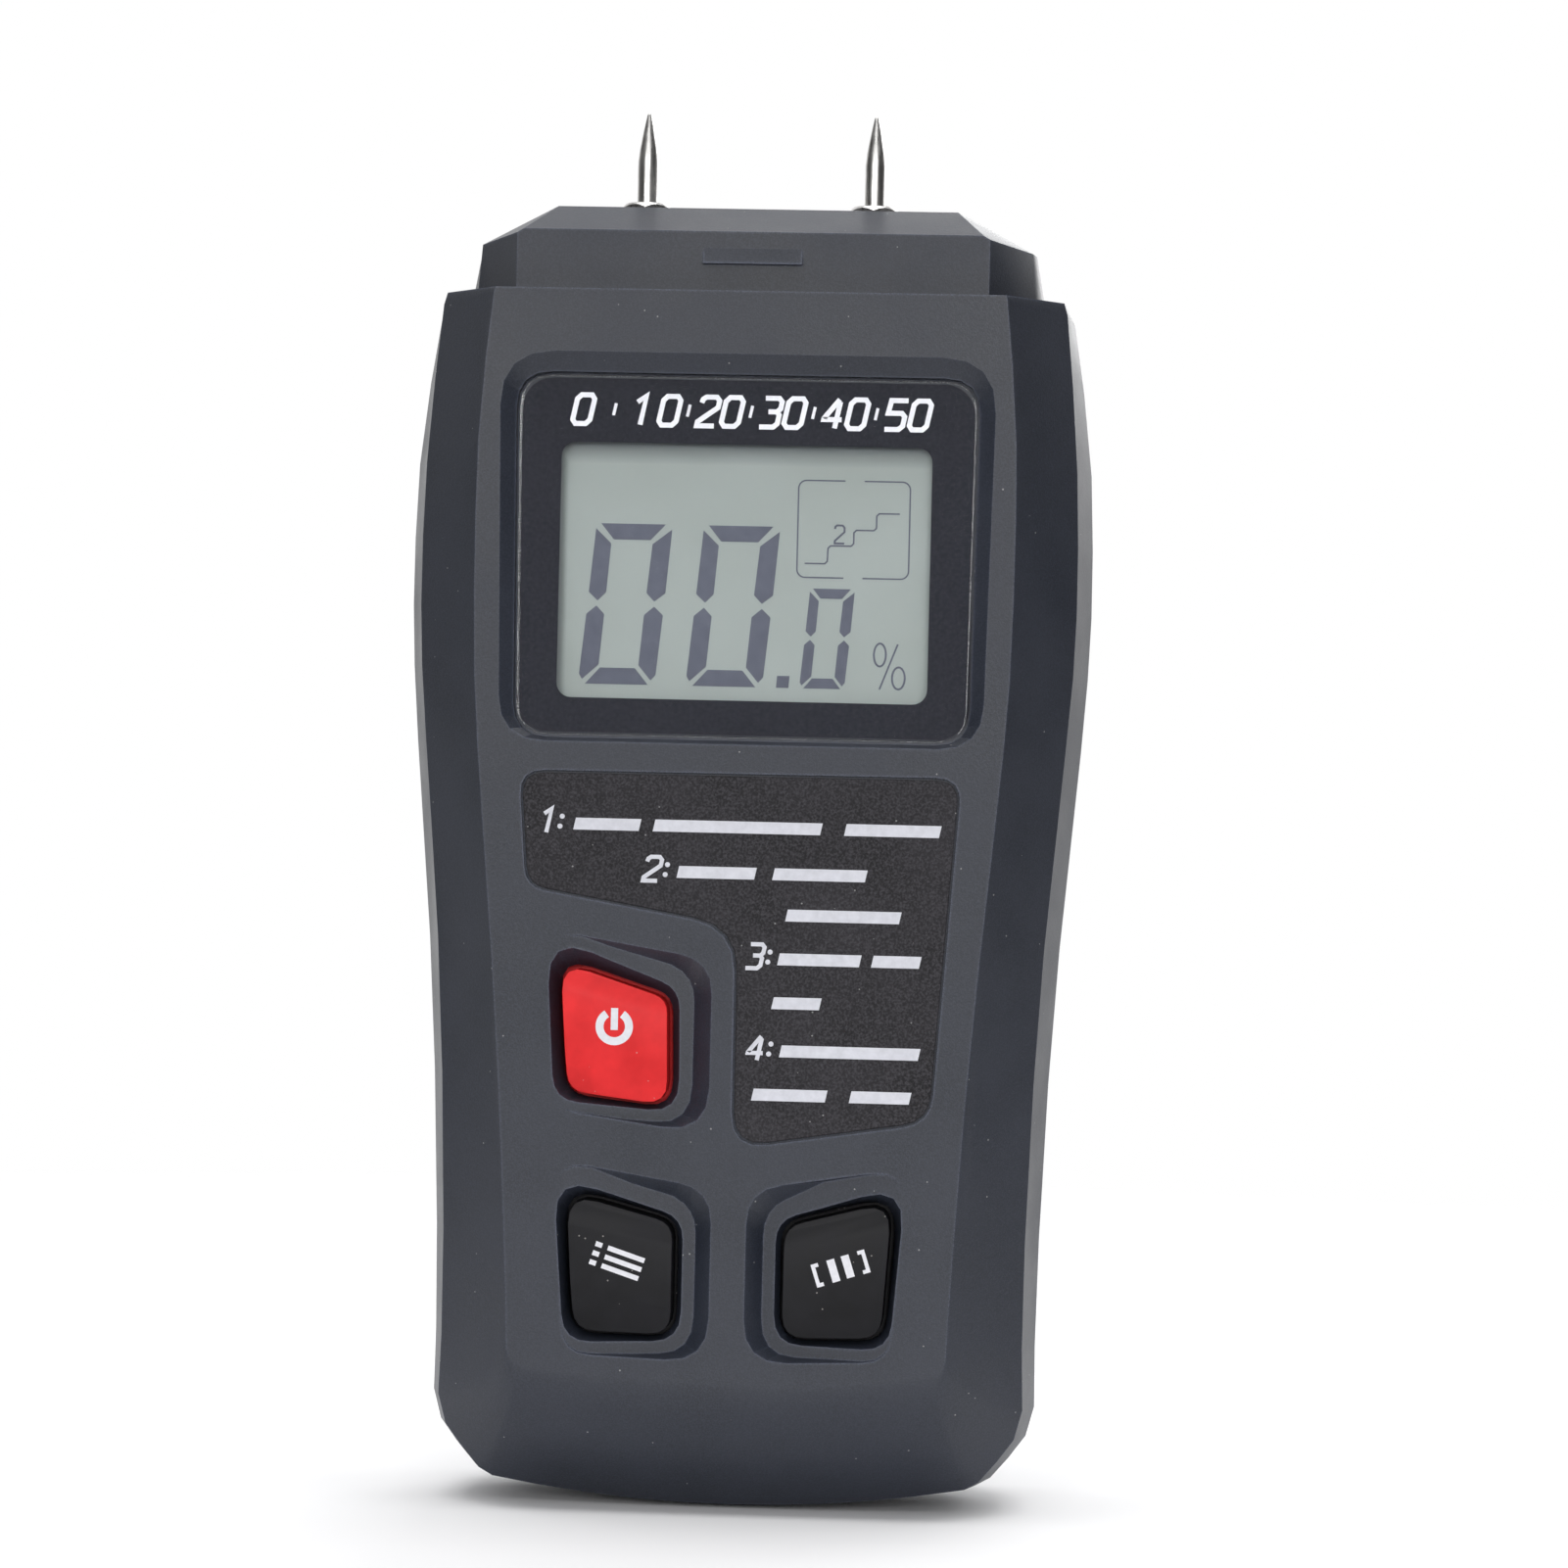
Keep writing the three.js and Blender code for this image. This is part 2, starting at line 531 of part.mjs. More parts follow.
function keyContact(key) {
  const centre = centreOf(cornersOf(key, key.shape.cap));
  return barY(centre.x, centre.y, 2, CAP_FOOT_Y + GAP, BOARD_Y - KEY_TRAVEL - 0.1, 16);
}

function keypadMat() {
  const sheet = [[-20.4, 12.9, 2], [20.4, 12.9, 2], [20.4, 58, 2], [-20.4, 58, 2]];
  const holes = KEYS.map((key) => {
    const centre = centreOf(cornersOf(key, key.shape.cap));
    return barY(centre.x, centre.y, 3.6, DOME_FOOT_Y - 1, BOARD_Y, 16);
  });
  const screwHoles = BOARD_SCREWS.map(([x, z]) => barY(x, z, 2.6, DOME_FOOT_Y - 1, BOARD_Y, 12));
  return cut(extrudeY(rounded(sheet), DOME_FOOT_Y, DOME_FOOT_Y + MAT_THICKNESS), ...holes, ...screwHoles);
}

// ---------- display ----------
function lcdFrame() {
  const outer = rectangle(22.4, 78.4, 112.2, 1.5);
  const inner = rectangle(20.8, 80, 110.6, 0.6);
  const back = BOARD_Y - GAP;
  return cut(
    extrudeY(rounded(outer), GLASS_Y, back),
    extrudeY(rounded(inner), GLASS_Y - 1, back + 1),
  );
}

function zebraStrip(low) {
  return box([-19, 19], [GLASS_Y + GLASS_THICKNESS + GAP, BOARD_Y - GAP], [low, low + 2]);
}

// ---------- board ----------
function circuitBoard() {
  const outline = [
    [-22, 14.4, 1], [22, 14.4, 1], [22, 58, 0.8], [23.4, 60, 0.8], [23.4, 113, 1.5], [-23.4, 113, 1.5],
    [-23.4, 60, 0.8], [-22, 58, 0.8],
  ];
  const screwHoles = BOARD_SCREWS.map(([x, z]) => barY(x, z, 1.5, BOARD_Y - 1, BOARD_Y + 3, 12));
  return cut(extrudeY(rounded(outline), BOARD_Y, BOARD_Y + BOARD_THICKNESS), ...screwHoles);
}

const BOARD_BACK = BOARD_Y + BOARD_THICKNESS + GAP;

function processorBlob() {
  const profile = [[0, 0], [7, 0], [6.7, 0.7], [5.2, 1.5], [2.6, 2], [0, 2.1]];
  const geometry = new THREE.LatheGeometry(profile.map(([r, h]) => vec2(r, h)), 24);
  geometry.translate(-6, BOARD_BACK, 96);
  return toSolid(geometry);
}

// A chip body with its rows of legs.
function measurementChip() {
  const [x, z] = [10.5, 97];
  const legs = Array.from({ length: 7 }, (_, i) => {
    const legZ = z - 3.81 + 1.27 * i;
    return box([x - 3, x + 3], [BOARD_BACK, BOARD_BACK + 0.35], [legZ - 0.2, legZ + 0.2]);
  });
  const body = box([x - 1.95, x + 1.95], [BOARD_BACK + 0.15, BOARD_BACK + 1.6], [z - 4.35, z + 4.35]);
  return join(body, ...legs);
}

function supplyRegulator() {
  const [x, z] = [12, 84];
  const tab = box([x - 1.6, x + 1.6], [BOARD_BACK, BOARD_BACK + 0.4], [z + 1.6, z + 2.9]);
  const legs = [-1.5, 0, 1.5].map((dx) =>
    box([x + dx - 0.25, x + dx + 0.25], [BOARD_BACK, BOARD_BACK + 0.4], [z - 2.9, z - 1.6]),
  );
  const body = box([x - 2.25, x + 2.25], [BOARD_BACK + 0.1, BOARD_BACK + 1.6], [z - 1.8, z + 1.8]);
  return join(body, tab, ...legs);
}

function filterCapacitor() {
  const can = new THREE.LatheGeometry(
    [
      [0, 0], [2.9, 0], [3.15, 0.5], [3.15, 1], [2.95, 1.3], [3.15, 1.6], [3.15, 5.2], [2.8, 5.5], [0, 5.5],
    ].map(([r, h]) => vec2(r, h)),
    20,
  );
  can.translate(0, BOARD_BACK, 0);
  can.translate(-14.5, 0, 82);
  return toSolid(can);
}

// ---------- pins ----------
function probePin(x) {
  const thread = 1.1;
  return turned(
    [
      [0, 125.2], [thread - 0.3, 125.2], [thread, 125.6], [thread, 131.4],
      [PIN_RADIUS, 131.8], [PIN_RADIUS, 137.3],
      [0.9, 138.6], [0.58, 140.4], [0.2, PIN_TIP_Z - 0.12], [0.1, PIN_TIP_Z], [0, PIN_TIP_Z],
    ],
    x, PARTING_Y, 24,
  );
}

// The socket a pin screws into: a hex flange outside, a round flange inside and a threaded tail.
function pinSocket(x) {
  const barrel = 1.8;
  const body = turned(
    [
      [0, 122], [barrel - 0.3, 122], [barrel, 122.3], [barrel, 128.4],
      [2.9, 128.4], [2.9, 129.4], [barrel, 129.4],
      [barrel, 132.4], [0, 132.4],
    ],
    x, PARTING_Y,
  );
  const flange = extrudeZ(hexagon(x, PARTING_Y, 4.7), 132, 133);
  const crest = [[0, 131], [2.72, 131], [2.72, 132.45], [2.1, 133.05], [0, 133.05]];
  const chamfer = turned(crest, x, PARTING_Y, 24);
  const bore = turned([[0, 124.9], [1.4, 124.9], [1.4, 134], [0, 134]], x, PARTING_Y);
  return cut(join(body, flange.intersect(chamfer)), bore);
}

function solderLug(x) {
  const inward = -Math.sign(x);
  const tail = [[0, -1.2, 0.3], [7, -1, 0.9], [7, 1, 0.9], [0, 1.2, 0.3]];
  const outline = rounded(tail).map((p) => vec2(x + inward * p.x, PARTING_Y + p.y * inward));
  const blade = extrudeZ(outline, 127.4, 128);
  const washer = turned([[0, 127.4], [3, 127.4], [3, 128], [0, 128]], x, PARTING_Y);
  const hole = turned([[0, 127], [2.1, 127], [2.1, 129], [0, 129]], x, PARTING_Y);
  return cut(join(washer, blade), hole);
}

function pinNut(x) {
  const hole = turned([[0, 124], [2.1, 124], [2.1, 128], [0, 128]], x, PARTING_Y);
  return cut(extrudeZ(hexagon(x, PARTING_Y, 5.5), 124.8, 127.1), hole);
}

function pinWire(x) {
  const s = Math.sign(x);
  const lugEnd = x - s * 6;
  return tube(
    [
      [lugEnd, PARTING_Y, 126.9],
      [lugEnd - s * 0.2, PARTING_Y, 124.5],
      [lugEnd - s * 0.8, PARTING_Y - 1, 120],
      [lugEnd + s * 0.4, -4, 115], [lugEnd + s * 0.6, -4.6, 110.5], [lugEnd + s * 0.6, -5.2, 107.5],
    ],
    0.6, 16,
  );
}

// ---------- power ----------
const BATTERY_MIDDLE_Y = BATTERY.frontY + BATTERY.depth / 2;
const SNAP_X = 6.35; // half the distance between the battery's two terminals

function battery() {
  const { width, depth, height, frontY, footZ } = BATTERY;
  const outline = rectangle(width / 2, frontY, frontY + depth, 1.6);
  const top = footZ + height;
  const studProfile = [[0, top - 1], [2.8, top - 1], [2.8, top + 2.2], [2.4, top + 2.6], [0, top + 2.6]];
  const stud = turned(studProfile, -SNAP_X, BATTERY_MIDDLE_Y);
  const cup = extrudeZ(hexagon(SNAP_X, BATTERY_MIDDLE_Y, 7), top - 1, top + 2.6);
  return join(extrudeZ(rounded(outline), footZ, top), stud, cup);
}

function batterySnap() {
  const top = BATTERY.footZ + BATTERY.height;
  const [y0, y1] = [BATTERY_MIDDLE_Y - 5.6, BATTERY_MIDDLE_Y + 5.6];
  const outline = [[-12.6, y0, 3], [12.6, y0, 3], [12.6, y1, 3], [-12.6, y1, 3]];
  return extrudeZ(rounded(outline), top + 2.6 + GAP, top + 5.4);
}

function batteryLead(s) {
  const z = BATTERY.footZ + BATTERY.height + 5.4 + GAP + 0.1;
  const y = BATTERY_MIDDLE_Y;
  return tube(
    [
      [s * 2.6, y - 2, z + 0.2],
      [s * 2.6, y - 4, z + 2.2],
      [s * 2.6, -1, z + 3],
      [s * 2.4, -3.4, z + 5.5],
      [s * 2.2, -5.2, z + 10],
    ],
    0.65, 14,
  );
}

function batteryDoor() {
  const { halfWidth, low, high, innerY } = DOOR;
  const plate = extrudeY(rounded(rectangle(halfWidth, low, high, 1.2)), innerY, BACK_Y);
  const tabs = [-DOOR_TAB_X, DOOR_TAB_X].map((x) =>
    box([x - 2, x + 2], [12.4, innerY + 0.15], [13.3, 15.6]),
  );
  const latch = box([-5, 5], [innerY - 0.8, BACK_Y - 0.5], [high - 0.5, high + 1.1]);
  const [gripLow, gripHigh] = [61.5, 70.5];
  const thumb = extrudeY(rounded(rectangle(8, gripLow, gripHigh, 1.5)), BACK_Y - 0.7, BACK_Y + 1);
  const ribs = Array.from({ length: 4 }, (_, i) => {
    const z = gripLow + 1.5 + 2 * i;
    return box([-6.6, 6.6], [BACK_Y - 0.9, BACK_Y], [z - 0.35, z + 0.35]);
  });
  const slits = [-5.9, 5.9].map((x) =>
    box([x - 0.4, x + 0.4], [innerY - 1, BACK_Y + 1], [high - 2.6, high + 2]),
  );
  return cut(join(cut(join(plate, ...tabs), thumb), ...ribs, latch), ...slits);
}

// ---------- assembly ----------
const group = new THREE.Group();

function add(name, shape, color, roughness, metalness = 0) {
  const geometry = shape.isBufferGeometry ? shape : toGeometry(shape);
  const material = new THREE.MeshStandardMaterial({ color, roughness, metalness });
  const mesh = new THREE.Mesh(geometry, material);
  mesh.name = name;
  group.add(mesh);
}

const SHELL = 0x4b4d55;
const STEEL = 0xb9bbbd;
const BRASS = 0xc9b27a;

add("front_shell", frontShell(), SHELL, 0.62);
add("rear_shell", rearShell(), SHELL, 0.62);
const lens = extrudeY(rounded(LENS_CORNERS), LENS_Y, LENS_Y + LENS_THICKNESS);
add("display_lens", lens, 0x20222b, 0.06);
const labelOutline = rounded(offset(LABEL_CORNERS, -0.25));
const label = extrudeY(labelOutline, FRONT_Y + 0.05, FRONT_Y + LABEL_DEPTH - 0.2);
add("function_label", label, 0x3b393b, 0.55);
CASE_SCREWS.forEach((place, i) =>
  add(`case_screw_${i + 1}`, screw(place, HEAD_SEAT_Y + GAP, 2.7, 1.9, 1.0, 12), STEEL, 0.35, 1),
);

const glass = extrudeY(rounded(rectangle(20.5, 80.3, 110.3, 0.4)), GLASS_Y, GLASS_Y + GLASS_THICKNESS);
add("lcd_panel", glass, 0xaab3ac, 0.3);
add("lcd_frame", lcdFrame(), 0x2b2c2f, 0.6);
add("zebra_strip_upper", zebraStrip(107.6), 0x5a5a5e, 0.8);
add("zebra_strip_lower", zebraStrip(81), 0x5a5a5e, 0.8);

add("circuit_board", circuitBoard(), 0x1f5b36, 0.45);
add("processor_blob", processorBlob(), 0x151517, 0.35);
add("measurement_chip", measurementChip(), 0x1a1a1c, 0.5);
add("supply_regulator", supplyRegulator(), 0x1a1a1c, 0.5);
add("filter_capacitor", filterCapacitor(), 0x23304f, 0.4);
BOARD_SCREWS.forEach((place, i) =>
  add(`board_screw_${i + 1}`, screw(place, BOARD_BACK, 1.9, 1.2, 0.75, 5), STEEL, 0.35, 1),
);

add("keypad_mat", keypadMat(), 0x303034, 0.85);
for (const key of KEYS) {
  add(`${key.name}_key`, keyCap(key), key.color, 0.5);
  add(`${key.name}_dome`, keyDome(key), 0x303034, 0.85);
  add(`${key.name}_contact`, keyContact(key), 0x101012, 0.9);
}

for (const [side, x] of [["left", -PIN_X], ["right", PIN_X]]) {
  add(`probe_pin_${side}`, probePin(x), 0xc9c9c6, 0.22, 1);
  add(`pin_socket_${side}`, pinSocket(x), STEEL, 0.3, 1);
  add(`solder_lug_${side}`, solderLug(x), BRASS, 0.4, 1);
  add(`pin_nut_${side}`, pinNut(x), BRASS, 0.35, 1);
  add(`pin_wire_${side}`, pinWire(x), 0xd8d8d4, 0.6);
}

add("battery", battery(), 0x2d2f33, 0.4);
add("battery_snap", batterySnap(), 0x18181a, 0.6);
add("battery_lead_red", batteryLead(-1), 0xb5231f, 0.55);
add("battery_lead_black", batteryLead(1), 0x19191b, 0.55);
add("battery_door", batteryDoor(), SHELL, 0.62);
const pad = box([-9, 9], [BATTERY.frontY + BATTERY.depth + 0.2, DOOR.innerY - 0.2], [28, 56]);
add("battery_pad", pad, 0x222225, 0.95);

export default group;
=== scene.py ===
import json
import math

import bmesh
import bpy
from mathutils import Matrix, Vector
from mathutils.bvhtree import BVHTree


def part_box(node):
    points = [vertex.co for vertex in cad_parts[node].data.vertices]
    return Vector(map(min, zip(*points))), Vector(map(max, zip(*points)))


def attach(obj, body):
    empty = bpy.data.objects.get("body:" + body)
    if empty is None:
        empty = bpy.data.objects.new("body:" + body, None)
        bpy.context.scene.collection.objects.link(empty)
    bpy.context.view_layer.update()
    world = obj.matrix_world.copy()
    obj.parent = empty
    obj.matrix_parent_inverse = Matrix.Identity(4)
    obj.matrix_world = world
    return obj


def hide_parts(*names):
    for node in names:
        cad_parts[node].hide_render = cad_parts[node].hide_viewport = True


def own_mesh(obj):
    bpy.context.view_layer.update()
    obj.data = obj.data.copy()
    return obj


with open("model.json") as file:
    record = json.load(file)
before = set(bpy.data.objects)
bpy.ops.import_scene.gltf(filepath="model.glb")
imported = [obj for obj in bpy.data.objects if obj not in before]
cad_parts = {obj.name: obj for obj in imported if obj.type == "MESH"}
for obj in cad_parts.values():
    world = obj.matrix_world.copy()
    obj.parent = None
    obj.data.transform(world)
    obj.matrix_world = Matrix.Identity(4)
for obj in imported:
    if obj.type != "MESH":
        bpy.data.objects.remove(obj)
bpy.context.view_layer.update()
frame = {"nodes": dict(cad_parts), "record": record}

MM = 0.001
NODES = frame["nodes"]


# ---------- camera ----------
VIEW_AZIMUTH = math.radians(3.4)  # the camera stands a little to the right of the display
VIEW_ROLL = math.radians(1.34)
VIEW_DISTANCE = 500 * MM  # from the face of the display panel
FIELD = 156.9 * MM  # width of the view at that distance
LOOK_AT = Vector((4.55, -15, 73.7)) * MM
SENSOR = 36.0


def make_camera():
    """A level camera that looks along +Y, a little turned and rolled."""
    data = bpy.data.cameras.new("camera")
    data.sensor_width = SENSOR
    data.lens = SENSOR * VIEW_DISTANCE / FIELD
    data.clip_start = 0.01
    data.clip_end = 20
    camera = bpy.data.objects.new("camera", data)
    back = Vector((math.sin(VIEW_AZIMUTH), -math.cos(VIEW_AZIMUTH), 0))
    right = Vector((math.cos(VIEW_AZIMUTH), math.sin(VIEW_AZIMUTH), 0))
    turn = Matrix((right, Vector((0, 0, 1)), back)).transposed().to_4x4()
    camera.matrix_world = (
        Matrix.Translation(LOOK_AT + back * VIEW_DISTANCE) @ turn @ Matrix.Rotation(VIEW_ROLL, 4, "Z")
    )
    bpy.context.scene.collection.objects.link(camera)
    bpy.context.scene.camera = camera


# ---------- node material helpers ----------
def new_material(name):
    material = bpy.data.materials.new(name)
    material.use_nodes = True
    return material, material.node_tree, material.node_tree.nodes["Principled BSDF"]


def linear(r, g, b):
    """A display colour, each channel from 0 to 255, as a linear colour."""
    def one(v):
        v /= 255
        return v / 12.92 if v <= 0.04045 else ((v + 0.055) / 1.055) ** 2.4
    return (one(r), one(g), one(b), 1.0)


def node(tree, kind, **values):
    made = tree.nodes.new(kind)
    for name, value in values.items():
        if name in made.inputs:
            made.inputs[name].default_value = value
        else:
            setattr(made, name, value)
    return made


def position(tree):
    return node(tree, "ShaderNodeTexCoord").outputs["Object"]


def noise(tree, where, scale, detail=3.0, roughness=0.55):
    made = node(tree, "ShaderNodeTexNoise", Scale=scale, Detail=detail, Roughness=roughness)
    tree.links.new(where, made.inputs["Vector"])
    return made.outputs["Fac"]


def remap(tree, value, low, high, to_low, to_high):
    made = node(tree, "ShaderNodeMapRange", clamp=True)
    made.inputs["From Min"].default_value = low
    made.inputs["From Max"].default_value = high
    made.inputs["To Min"].default_value = to_low
    made.inputs["To Max"].default_value = to_high
    tree.links.new(value, made.inputs["Value"])
    return made.outputs["Result"]


def mix_colour(tree, factor, a, b):
    made = node(tree, "ShaderNodeMix", data_type="RGBA")
    for socket, value in ((made.inputs["Factor"], factor), (made.inputs["A"], a), (made.inputs["B"], b)):
        if isinstance(value, bpy.types.NodeSocket):
            tree.links.new(value, socket)
        else:
            socket.default_value = value
    return made.outputs["Result"]


def math_node(tree, operation, a, b=None):
    made = node(tree, "ShaderNodeMath", operation=operation)
    for i, value in enumerate((a, b)):
        if isinstance(value, bpy.types.NodeSocket):
            tree.links.new(value, made.inputs[i])
        elif value is not None:
            made.inputs[i].default_value = value
    return made.outputs[0]


def add_bump(tree, shader, heights, distance, strength=1.0):
    """Bumps the shader by the sum of weighted heights, as (socket, weight) pairs."""
    total = None
    for height, weight in heights:
        part = math_node(tree, "MULTIPLY", height, weight)
        total = part if total is None else math_node(tree, "ADD", total, part)
    bump = node(tree, "ShaderNodeBump", Strength=strength, Distance=distance)
    tree.links.new(total, bump.inputs["Height"])
    tree.links.new(bump.outputs["Normal"], shader.inputs["Normal"])


def dust(tree, where, size, amount):
    """A mask of sparse round specks, about size across, on the given share of cells."""
    cells = node(tree, "ShaderNodeTexVoronoi", Scale=1 / (size * 6), Randomness=1.0)
    tree.links.new(where, cells.inputs["Vector"])
    speck_radius = 0.13  # as a share of a cell
    near = math_node(tree, "LESS_THAN", cells.outputs["Distance"], speck_radius)
    split = node(tree, "ShaderNodeSeparateColor")
    tree.links.new(cells.outputs["Color"], split.inputs["Color"])
    chosen = math_node(tree, "LESS_THAN", split.outputs["Red"], amount)
    return math_node(tree, "MULTIPLY", near, chosen)


# ---------- materials ----------
WEAR_AND_HIGHLIGHT_LIGHTER = 3.2  # how much lighter an edge with painted highlight and wear is than the plastic round it
DUST_GREY = (0.4, 0.4, 0.4, 1)
LINT_GREY = (0.55, 0.52, 0.5, 1)


def edge_mask(tree, radius, low, high):
    """Where the surface turns within the radius: edges, rims and creases."""
    bevel = node(tree, "ShaderNodeBevel", samples=4, Radius=radius)
    geometry = node(tree, "ShaderNodeNewGeometry")
    dot = node(tree, "ShaderNodeVectorMath", operation="DOT_PRODUCT")
    tree.links.new(bevel.outputs[0], dot.inputs[0])
    tree.links.new(geometry.outputs["Normal"], dot.inputs[1])
    return remap(tree, dot.outputs["Value"], low, high, 1.0, 0.0)


def moulded_plastic(
    name, colour, light_colour, grain=0.16, roughness=0.5, speck=0.02, bump=0.012, wear_and_highlight=0.0, sheen=0.5
):
    """Moulded plastic with a spark-eroded grain, faint mottling, edges, rims and creases lightened by painted
    highlight and wear, and a little dust.
    """
    material, tree, shader = new_material(name)
    shader.inputs["Specular IOR Level"].default_value = sheen
    where = position(tree)
    mottle = noise(tree, where, 90, 4)
    fine = noise(tree, where, 1 / (grain * MM), 2, 0.6)
    coarse = noise(tree, where, 0.45 / (grain * MM), 2, 0.5)
    shade = mix_colour(tree, remap(tree, mottle, 0.35, 0.65, 0.0, 0.3), colour, light_colour)
    shade = mix_colour(tree, remap(tree, fine, 0.4, 0.7, 0.0, 0.8), shade, light_colour)
    # painted highlight and wear: edges, rims and creases turn lighter, broken up by the grain
    if wear_and_highlight:
        broken = remap(tree, fine, 0.35, 0.6, 0.3, 1.0)
        edges = math_node(tree, "MULTIPLY", edge_mask(tree, 0.45 * MM, 0.82, 0.995), broken)
        worn_highlight_colour = tuple(min(1, c * WEAR_AND_HIGHLIGHT_LIGHTER) for c in light_colour[:3]) + (1,)
        shade = mix_colour(tree, math_node(tree, "MULTIPLY", edges, wear_and_highlight), shade, worn_highlight_colour)
    specks = dust(tree, where, 0.11 * MM, speck)
    shade = mix_colour(tree, math_node(tree, "MULTIPLY", specks, 0.6), shade, DUST_GREY)
    tree.links.new(shade, shader.inputs["Base Color"])
    uneven = remap(tree, mottle, 0.3, 0.7, roughness - 0.05, roughness + 0.06)
    tree.links.new(uneven, shader.inputs["Roughness"])
    add_bump(tree, shader, [(fine, 1.0), (coarse, 0.8)], bump * MM)
    return material


def rubber(name, colour, light_colour, roughness=0.5, speck=0.05, sheen=0.5):
    """Satin silicone rubber with a soft uneven sheen and specks of lint."""
    material, tree, shader = new_material(name)
    shader.inputs["Specular IOR Level"].default_value = sheen
    where = position(tree)
    soft = noise(tree, where, 260, 3)
    fine = noise(tree, where, 5200, 2)
    shade = mix_colour(tree, remap(tree, soft, 0.35, 0.7, 0.0, 1.0), colour, light_colour)
    specks = dust(tree, where, 0.1 * MM, speck)
    shade = mix_colour(tree, math_node(tree, "MULTIPLY", specks, 0.45), shade, LINT_GREY)
    tree.links.new(shade, shader.inputs["Base Color"])
    uneven = remap(tree, soft, 0.3, 0.7, roughness - 0.06, roughness + 0.08)
    tree.links.new(uneven, shader.inputs["Roughness"])
    add_bump(tree, shader, [(soft, 3.0), (fine, 0.4)], 0.012 * MM)
    return material


def metal(name, colour, roughness=0.25, streak=(1, 1, 1), scale=2500, bump=0.002):
    """Machined metal whose fine tool marks run round or along the piece, as streak stretches them."""
    material, tree, shader = new_material(name)
    stretch = node(tree, "ShaderNodeMapping")
    stretch.inputs["Scale"].default_value = streak
    tree.links.new(position(tree), stretch.inputs["Vector"])
    marks = noise(tree, stretch.outputs["Vector"], scale, 3)
    cloud = noise(tree, position(tree), 400, 3)
    dark = tuple(c * 0.72 for c in colour[:3]) + (1,)
    shade = mix_colour(tree, remap(tree, cloud, 0.35, 0.7, 0.0, 1.0), dark, colour)
    tree.links.new(shade, shader.inputs["Base Color"])
    shader.inputs["Metallic"].default_value = 1.0
    uneven = remap(tree, marks, 0.3, 0.7, roughness * 0.7, roughness * 1.4)
    tree.links.new(uneven, shader.inputs["Roughness"])
    add_bump(tree, shader, [(marks, 1.0)], bump * MM)
    return material


def plain_finish(name, colour, roughness, noise_scale=900, bump=0.006, spread=0.25, coat=0.0, sheen=0.5):
    """A small part's own finish: colour that drifts a little, uneven gloss and a faint surface."""
    material, tree, shader = new_material(name)
    where = position(tree)
    drift = noise(tree, where, noise_scale, 3)
    light = tuple(min(1, c * (1 + spread) + 0.01) for c in colour[:3]) + (1,)
    shade = mix_colour(tree, remap(tree, drift, 0.3, 0.7, 0.0, 1.0), colour, light)
    tree.links.new(shade, shader.inputs["Base Color"])
    uneven = remap(tree, drift, 0.3, 0.7, roughness * 0.85, min(1, roughness * 1.15))
    tree.links.new(uneven, shader.inputs["Roughness"])
    shader.inputs["Coat Weight"].default_value = coat
    shader.inputs["Specular IOR Level"].default_value = sheen
    add_bump(tree, shader, [(drift, 1.0)], bump * MM)
    return material


def battery_jacket(name):
    """A printed steel jacket: a dark body, a light upper band and a thin stripe between them."""
    material, tree, shader = new_material(name)
    where = position(tree)
    split = node(tree, "ShaderNodeSeparateXYZ")
    tree.links.new(where, split.inputs[0])
    drift = noise(tree, where, 300, 3)
    patches = remap(tree, drift, 0.3, 0.7, 0.0, 1.0)
    dark = mix_colour(tree, patches, linear(34, 36, 42), linear(44, 46, 54))
    light = mix_colour(tree, patches, linear(150, 152, 156), linear(172, 174, 178))
    stripe_low, stripe_high = 47.5 * MM, 48.7 * MM
    above_body = math_node(tree, "GREATER_THAN", split.outputs["Z"], stripe_low)
    above_stripe = math_node(tree, "GREATER_THAN", split.outputs["Z"], stripe_high)
    shade = mix_colour(tree, above_body, dark, linear(190, 120, 40))
    shade = mix_colour(tree, above_stripe, shade, light)
    tree.links.new(shade, shader.inputs["Base Color"])
    tree.links.new(remap(tree, drift, 0.3, 0.7, 0.26, 0.38), shader.inputs["Roughness"])
    shader.inputs["Metallic"].default_value = 0.35
    add_bump(tree, shader, [(drift, 1.0)], 0.003 * MM)
    return material


def display_glass(name):
    """The grey-green face of the display, in shade along its top and left edges under the border."""
    material, tree, shader = new_material(name)
    where = position(tree)
    split = node(tree, "ShaderNodeSeparateXYZ")
    tree.links.new(where, split.inputs[0])
    top = remap(tree, split.outputs["Z"], 105.6 * MM, 107.8 * MM, 0.0, 0.8)
    left = remap(tree, split.outputs["X"], -18.0 * MM, -18.9 * MM, 0.0, 0.6)
    cloud = noise(tree, where, 60, 3)
    patches = remap(tree, cloud, 0.3, 0.7, 0.0, 1.0)
    face = mix_colour(tree, patches, linear(142, 149, 146), linear(150, 157, 155))
    shade = mix_colour(tree, math_node(tree, "MAXIMUM", top, left), face, linear(70, 74, 80))
    tree.links.new(shade, shader.inputs["Base Color"])
    tree.links.new(remap(tree, cloud, 0.3, 0.7, 0.42, 0.55), shader.inputs["Roughness"])
    shader.inputs["Specular IOR Level"].default_value = 0.2
    add_bump(tree, shader, [(noise(tree, where, 5000, 2), 1.0)], 0.0008 * MM)
    return material


